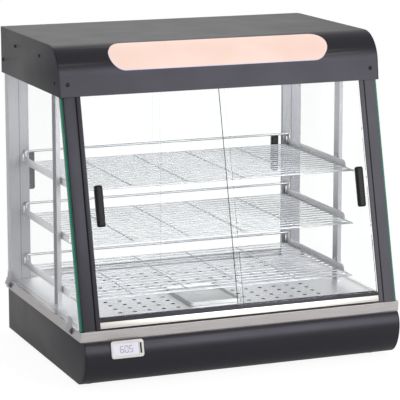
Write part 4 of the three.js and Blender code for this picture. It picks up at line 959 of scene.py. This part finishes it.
front_wire = long_wire("front_wire", SHELF_FRONT + WIRE / 2)
wire_row = repeated(long_wire("wires", second_wire - WIRE / 2), WIRE_COUNT, (0, wire_pitch, 0))
edge_x = SHELF_HALF - WIRE / 2
cross_low = level - 0.5
cross_row = repeated(round_bar("cross_wires", (-edge_x, SHELF_FRONT + 0.2, cross_low),
                               (-edge_x, SHELF_REAR - 0.2, cross_low), WIRE / 2),
                     CROSS_WIRES + 2, (cross_pitch, 0, 0))
rod_level = level + ROD_RISE
back_rod = round_bar("back_rod", (-SHELF_HALF, ROD_Y, rod_level), (SHELF_HALF, ROD_Y, rod_level),
                     ROD_RADIUS, 16)

nose = [(y, level + z) for y, z in arc((182, 0), 14, 13, 0, 90, 6)]
ear_front = [(y, level + z) for y, z in arc((448, 21.5), 5, 5, 0, 90, 5)]
ear_rear = [(y, level + z) for y, z in arc((ROD_Y, 21.5), 5, 5, 90, 180, 5)]
plate_outline = [(SHELF_REAR, level - 2), (168, level - 2), *nose,
                 (440, level + 13), (443, level + 16), *ear_front, *ear_rear]
shelf_parts = [front_wire, wire_row, cross_row, back_rod]
for wire in shelf_parts:
    wire.data.materials.append(chrome)
for side, sign in SIDES:
    near, far = sorted((sign * (SHELF_HALF - PLATE_HALF), sign * (SHELF_HALF + PLATE_HALF)))
    plate = flat_plate(f"shelf_plate_{side}", near, far, plate_outline)
    lug_near, lug_far = sorted((sign * SHELF_HALF, sign * LUG_REACH))
    middle_lug = block("lug", (lug_near, 219, level + LUG_LOW), (lug_far, 222, level + LUG_HIGH))
    rear_lug = block("lug", (near, ROD_Y, level + LUG_LOW), (far, 459.4, level + LUG_HIGH))
    for item in (soften(plate, 0.4), soften(middle_lug, 0.5), soften(rear_lug, 0.5)):
        item.data.materials.append(plate_steel)
        shelf_parts.append(item)
first_shelf = smooth(joined("shelf_bottom_wires", *shelf_parts))
print("faces of a shelf:", len(first_shelf.data.polygons))

# %% Three shelves
for name, height in SHELF_LEVELS.items():
    wires = first_shelf
    if height != level:
        wires = copied(first_shelf, f"shelf_{name}_wires", (0, 0, height - level))
    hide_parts(f"shelf_{name}")
    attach(wires, f"shelf_{name}_body")

# %% [markdown]
# ## Floor plate and water pan
#
# The floor is pierced in rows, so that hot air rises through it, but not under the pan. The
# drills are rows of bars again, in four fields round the pan. The plate is first divided
# between the holes, so that each hole is cut into a small face of its own.

# %% Floor plate
HOLE_PITCH_X, HOLE_PITCH_Y, HOLE_FIRST = 30.0, 29.0, 88.0
HOLE_RADIUS = 4.4
FLOOR_LOW, FLOOR_HIGH = (-313.5, 16.5, 104.5), (313.5, 463.5, 106)
HOLE_FIELDS = [(-7, 5, 0, 12), (-2, 4, 0, 1), (-2, 4, 7, 5), (2, 6, 0, 12)]
floor_plate = block("floor_skin", FLOOR_LOW, FLOOR_HIGH)
edit_mode()
for column in range(-8, 8):
    select_mesh()
    seam_x = (column + 0.5) * HOLE_PITCH_X
    bpy.ops.mesh.bisect(plane_co=place(seam_x, 0, 0), plane_no=(1, 0, 0))
for row in range(-1, 12):
    select_mesh()
    seam_y = HOLE_FIRST + (row + 0.5) * HOLE_PITCH_Y
    bpy.ops.mesh.bisect(plane_co=place(0, seam_y, 0), plane_no=(0, 1, 0))
object_mode()
for first_column, columns, first_row, rows in HOLE_FIELDS:
    x, y = first_column * HOLE_PITCH_X, HOLE_FIRST + first_row * HOLE_PITCH_Y
    drills = round_bar("drills", (x, y, 100), (x, y, 110), HOLE_RADIUS, 20)
    repeated(drills, columns, (HOLE_PITCH_X, 0, 0))
    repeated(drills, rows, (0, HOLE_PITCH_Y, 0))
    carve(floor_plate, drills)
hand_over(floor_plate, floor_steel, "floor_plate")
# The walls of the holes get painted shade, so the holes look dark as their shadow would make
# them.
second_finish(floor_plate, painted_recess_shade, lambda face: abs(face.normal.z) < 0.5)
print("floor faces:", len(floor_plate.data.polygons))

# %% Water pan
PAN_LOW, PAN_HIGH, PAN_CORNER = (-66, 112, 106), (42, 262, 113.5), 7
pan = block("pan_skin", PAN_LOW, PAN_HIGH)
round_edges(pan, lambda a, b: abs(a.z - b.z) > MM, PAN_CORNER, 6)
pan_top = place(*PAN_HIGH).z
edit_mode()
pick(pan, lambda face: abs(face.center.z - pan_top) < 0.1 * MM, "FACE")
for margin, depth in ((4, 0.8), (1.2, 5.2)):
    bpy.ops.mesh.inset(thickness=margin * MM)
    bpy.ops.transform.translate(value=(0, 0, -depth * MM))
object_mode()
smooth(soften(pan, 0.8, 3, 30), 50)
hand_over(pan, pan_steel, "water_pan", "water_pan_body")

# %% [markdown]
# ## Sill and front track
#
# Under the sloping front lies a bright sill, stepped back at its foot; the faces of the step
# get painted shade, so a dark line shows over the band as the gap's shadow. On it stands a
# black channel with two grooves, in which the panes slide.
# Both lean like the front, so each height of their sections is moved back along the slope.

# %% Sill and track
SLOPE_FOOT, SLOPE_HEAD = (3, 106), (108, 532)
FRONT_SLOPE = (SLOPE_HEAD[0] - SLOPE_FOOT[0]) / (SLOPE_HEAD[1] - SLOPE_FOOT[1])
FRONT_LEAN = math.atan(FRONT_SLOPE)
SILL_HALF = 288.7
SILL_TOP = 120.0
TRACK_LIP, TRACK_FLOOR = 5.5, 2.0
WALL_PLACES = ((1.0, 2.5), (8.9, 10.4), (16.8, 18.3))


def front_y(z):
    """The Y of the sloping front at a height."""
    return SLOPE_FOOT[0] + (z - SLOPE_FOOT[1]) * FRONT_SLOPE


def sloped(name, points):
    return flat_plate(name, -SILL_HALF, SILL_HALF, [(front_y(z) + y, z) for y, z in points])


sill = sloped("sill", [(2.2, 106.3), (2.2, 108.2), (1, 108.7), (1, SILL_TOP), (18.3, SILL_TOP),
                       (18.3, 106.3), (16.8, 106.3), (16.8, 118.5), (3.7, 118.5), (3.7, 106.3)])
hand_over(sill, bright_strip, "front_sill")
# The step's forward faces below this height get painted shade, standing for the shadow in the gap
# over the band.
step_top = place(0, 0, 108.6).z
second_finish(sill, painted_recess_shade, lambda face: face.center.z < step_top and face.normal.y < -0.3)
smooth(soften(sill, 0.4))

track_top, track_floor = SILL_TOP + TRACK_LIP, SILL_TOP + TRACK_FLOOR
track_section = [(WALL_PLACES[0][0], SILL_TOP)]
for near, far in reversed(WALL_PLACES):
    low = SILL_TOP if far == WALL_PLACES[-1][1] else track_floor
    track_section += [(far, low), (far, track_top), (near, track_top)]
    if near != WALL_PLACES[0][0]:
        track_section.append((near, track_floor))
track = smooth(soften(sloped("track", track_section), 0.3))
hand_over(track, track_black, "front_track_bottom")
print("points of the track's section:", len(track_section))

# %% [markdown]
# ## Front posts
#
# A folded post stands at each end of the sloping front. It is a narrow and a broad strip with
# a groove between them, whose walls and floor get painted shade, so it shows as a dark line.
# Its outer edge is turned in deep, and its inner one only a little, where the panes slide
# past. Each strip is a plate with the slope of the front.

# %% Front posts
POST_INNER, POST_OUTER, POST_DEPTH, INNER_RETURN = 289.0, 322.7, 20.0, 3.0
GROOVE_NEAR, GROOVE_FAR, GROOVE_FLOOR, GROOVE_BACK = 297.0, 300.0, 1.7, 4.0
post_foot, post_head = ((corner.z - cover_low.z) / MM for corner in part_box("front_post_left"))
POST_STRIPS = [(POST_INNER, GROOVE_NEAR, 0, SHELL), (GROOVE_FAR, POST_OUTER, 0, SHELL),
               (GROOVE_NEAR - SHELL, GROOVE_FAR + SHELL, GROOVE_FLOOR, GROOVE_BACK),
               (POST_INNER, POST_INNER + SHELL, 0, INNER_RETURN),
               (POST_OUTER - SHELL, POST_OUTER, 0, POST_DEPTH)]


def in_groove(face):
    """True for the walls and the floor of the groove."""
    x = abs(face.center.x) / MM
    z = (face.center.z - cover_low.z) / MM
    behind = (face.center.y - band_low.y) / MM - front_y(z)
    return GROOVE_NEAR - 0.1 < x < GROOVE_FAR + 0.1 and 0.5 < behind < GROOVE_FLOOR + 0.3


for side, sign in SIDES:
    strips = []
    for near, far, face_y, back_y in POST_STRIPS:
        outline = [(front_y(z) + y, z) for z, y in ((post_foot, face_y), (post_head, face_y),
                                                    (post_head, back_y), (post_foot, back_y))]
        strips.append(flat_plate("strip", *sorted((sign * near, sign * far)), outline))
    post = strips[0]
    for strip in strips[1:]:
        carve(post, strip, "UNION")
    smooth(soften(settle(post, f"sloping_post_{side}"), 0.3))
    hand_over(post, track_black, f"front_post_{side}")
    # The groove's walls and floor get painted shade, standing for the shadow inside the groove.
    second_finish(post, painted_recess_shade, in_groove)
    print("faces of a post:", len(post.data.polygons))

# %% [markdown]
# ## Door grips
#
# A grip is a stout bar with blunt ends. All its edges are rounded off, but for those of the
# flat back, which lies on the pane. Two lie on the sloping front panes and two on the
# upright rear ones.

# %% Four grips
GRIP_WIDTH, GRIP_LENGTH, GRIP_DEPTH, GRIP_ROUND = 16.0, 79.0, 8.5, 4.5
GRIP_LEVEL, GRIP_GAP = 328.5, 0.3


def make_grip(name):
    grip = cube(name, (0, -GRIP_DEPTH / 2 * MM, 0),
                (GRIP_WIDTH * MM, GRIP_DEPTH * MM, GRIP_LENGTH * MM))
    back_y = -0.1 * GRIP_DEPTH * MM
    round_edges(grip, lambda a, b: a.y < back_y or b.y < back_y, GRIP_ROUND, 7)
    return smooth(outward(grip), 40)


GRIPS = [("front", "left", -267.1, front_y(GRIP_LEVEL) + 11.6 - GRIP_GAP, -FRONT_LEAN, 0),
         ("front", "right", 270.6, front_y(GRIP_LEVEL) + 3.7 - GRIP_GAP, -FRONT_LEAN, 0),
         ("rear", "left", -272.6, 471.7, 0, math.pi),
         ("rear", "right", 272.6, 478.4, 0, math.pi)]
for face, side, x, y, lean, about in GRIPS:
    turn = Matrix.Rotation(about, 4, "Z") @ Matrix.Rotation(lean, 4, "X")
    grip = posed(make_grip("grip"), f"grip_{face}_{side}", (x, y, GRIP_LEVEL), turn)
    hand_over(grip, black_plastic, f"{face}_handle_{side}",
              f"{face}_door_{side}_body")

# %% [markdown]
# ## Spring clips
#
# Four clips of bright spring strip hold the side panes to the band: a foot, a belly that is
# pressed with the thumb, a waist and a lip. One is bent facing the front and then turned to
# the left or to the right.

# %% Four clips
CLIP_WIDTH, CLIP_GAUGE = 22.0, 1.2
CLIP_PLACES = {"front": 61.0, "rear": 455.0}
CLIP_SECTION = [(330.3, 90), (331.2, 91.6), (333.6, 94.2), (335.6, 96.8), (336.4, 99.2),
                (335.6, 101.6), (333.4, 104), (331.8, 106.2), (331.0, 109), (330.6, 113),
                (330.2, 117), (330.0, 120), (330.6, 123)]
points = [(-out, z) for out, z in CLIP_SECTION]
for side, sign in SIDES:
    for face, y in CLIP_PLACES.items():
        clip = bent_sheet("clip", -CLIP_WIDTH / 2, CLIP_WIDTH / 2, points, CLIP_GAUGE, (0, -1, 0))
        to_side = Matrix.Rotation(sign * math.pi / 2, 4, "Z")
        posed(to_origin(clip), f"clip_{face}_{side}", (0, y, 0), to_side)
        smooth(soften(clip, 0.3, 2, 50), 45)
        hand_over(clip, chrome, f"glass_clip_{face}_{side}")

# %% [markdown]
# ## Turned pieces
#
# Feet, knob, cord gland and screw heads are turned: half a section is drawn and spun round.
# Each foot has a sunk hole for its screw. The knob has a bar to hold it by and a white line.

# %% Feet
FOOT_X, FOOT_PLACES, FOOT_HEIGHT = 296, {"front": 64, "rear": 438}, 9
FOOT_SECTION = [(0, 4), (4, 4), (4.5, 0.4), (5.2, 0), (11.3, 0), (12, 0.7), (13.4, 6.5),
                (14, 7.2), (14, FOOT_HEIGHT), (0, FOOT_HEIGHT)]
for side, sign in SIDES:
    for face, y in FOOT_PLACES.items():
        foot = posed(turned("foot", FOOT_SECTION, 40), f"rubber_foot_{face}_{side}",
                     (sign * FOOT_X, y, -FOOT_HEIGHT))
        hand_over(smooth(foot), rubber, f"foot_{face}_{side}")

# %% Knob and its dial
to_rear = Matrix.Rotation(-math.pi / 2, 4, "X")
KNOB_X, KNOB_LEVEL = 190, 44
KNOB_GAP = 0.3
KNOB_SECTION = [(3.3, 0), (18.4, 0), (19, 0.8), (19, 3.4), (18.2, 4.2), (16.2, 4.8), (15, 5.6),
                (14.6, 7.4), (13.8, 8), (3.3, 8), (3.3, 0)]
knob_disc = posed(turned("knob_disc", KNOB_SECTION, 64), "knob_disc",
                  (KNOB_X, BASE_REAR + KNOB_GAP, KNOB_LEVEL), to_rear)
knob_bar = soften(block("knob_bar", (KNOB_X - 4.5, 480.3, KNOB_LEVEL - 15),
                        (KNOB_X + 4.5, 489.3, KNOB_LEVEL + 15)), 2.2, 4)
knob = smooth(joined("control_knob", knob_disc, knob_bar))
pointer = soften(block("knob_line", (KNOB_X - 0.5, 489.1, KNOB_LEVEL + 1),
                       (KNOB_X + 0.5, 489.4, KNOB_LEVEL + 13)), 0.1, 1)
hand_over(knob, black_plastic, "thermostat_knob", "thermostat_knob_body")
hand_over(pointer, white_enamel, body="thermostat_knob_body")

DIAL_STEPS, DIAL_STEP_ANGLE = 10, 30
MARK_LOW, MARK_HIGH, MARK_LONG = 21.5, 25.5, 27
dial_marks = []
for step in range(DIAL_STEPS):
    mark = block("mark", (-0.5, 0, MARK_LOW), (0.5, 0.25, MARK_HIGH if step % 3 else MARK_LONG))
    turn = Matrix.Rotation(math.radians(DIAL_STEP_ANGLE * step), 4, "Y")
    dial_marks.append(posed(to_origin(mark), "mark", (KNOB_X, BASE_REAR, KNOB_LEVEL), turn))
dial = soften(joined("dial_marks", *dial_marks), 0.08, 1)
hand_over(dial, white_enamel)

# %% Cord gland
GLAND_X, GLAND_LEVEL = 262, 26
GLAND_SECTION = [(4, -5), (7.8, -5), (8, -4.8), (8, 0), (9.6, 0), (10, 0.4), (10, 2.6), (9.6, 3),
                 (8, 3), (6.4, 8), (5.6, 12.4), (5, 13), (4.4, 13), (4, 12.6), (4, -5)]
gland = posed(turned("gland", GLAND_SECTION, 48), "cord_gland",
              (GLAND_X, BASE_REAR, GLAND_LEVEL), to_rear)
hand_over(smooth(gland), black_plastic, "cable_gland")
print("turned pieces made")

# %% [markdown]
# ## Studio
#
# A pale floor, a white surround and three large soft lamps. The floor mixes its lit colour
# with plain white for the camera, so the background is near white and the shadow stays.


# %% World and floor
MIRROR_SHARE, FILL_STRENGTH, FLOOR_GLOW, FLOOR_SHARE = 0.28, 0.42, 1.15, 0.8


def background_rays(tree):
    """1 for camera and glass rays that look at the background, and less for mirror rays."""
    light = tree.nodes.new("ShaderNodeLightPath")
    dimmed = maths(tree, "MULTIPLY", light.outputs["Is Glossy Ray"], MIRROR_SHARE)
    seen = maths(tree, "MAXIMUM", light.outputs["Is Camera Ray"], dimmed)
    return maths(tree, "MAXIMUM", seen, light.outputs["Is Transmission Ray"])


world = bpy.data.worlds.new("studio")
bpy.context.scene.world = world
world.use_nodes = True
sky = world.node_tree
fill = sky.nodes["Background"]
give(fill, "Color", (1, 1, 1, 1))
give(fill, "Strength", FILL_STRENGTH)
white = sky.nodes.new("ShaderNodeBackground")
give(white, "Color", (1, 1, 1, 1))
give(white, "Strength", 1.0)
mix_shaders(sky, background_rays(sky), fill.outputs["Background"], white.outputs["Background"],
            "World Output")

select_only()
bpy.ops.mesh.primitive_plane_add(size=12, location=(0, 0, 0))
floor = settle(bpy.context.object, "studio_floor")
floor_material, tree, shader = new_finish("studio_floor", 0.8)
give(shader, "Base Color", shade(238, 238, 238))
plain = tree.nodes.new("ShaderNodeEmission")
give(plain, "Strength", FLOOR_GLOW)
share = maths(tree, "MULTIPLY", background_rays(tree), FLOOR_SHARE)
mix_shaders(tree, share, shader.outputs["BSDF"], plain.outputs["Emission"], "Material Output")
floor.data.materials.append(floor_material)


# %% Lamps
def soft_lamp(name, where, aim, width, height, power):
    """A rectangular lamp at a place, which looks at another. Metres and watts."""
    select_only()
    bpy.ops.object.light_add(type="AREA", location=where)
    lamp = bpy.context.object
    lamp.name = name
    lamp.data.shape = "RECTANGLE"
    lamp.data.size = width
    lamp.data.size_y = height
    lamp.data.energy = power
    lamp.rotation_euler = (Vector(aim) - Vector(where)).to_track_quat("-Z", "Y").to_euler()


soft_lamp("key", (-1.6, -2.2, 2.0), (0, 0, 0.3), 1.8, 1.8, 6)
soft_lamp("front", (1.4, -3.2, 1.35), (0, 0, 0.35), 1.9, 2.0, 62)
soft_lamp("back", (0.5, 2.4, 2.2), (0, 0, 0.3), 1.8, 1.8, 8)

# %% Plain colours
scene = bpy.context.scene
scene.view_settings.view_transform = "Standard"
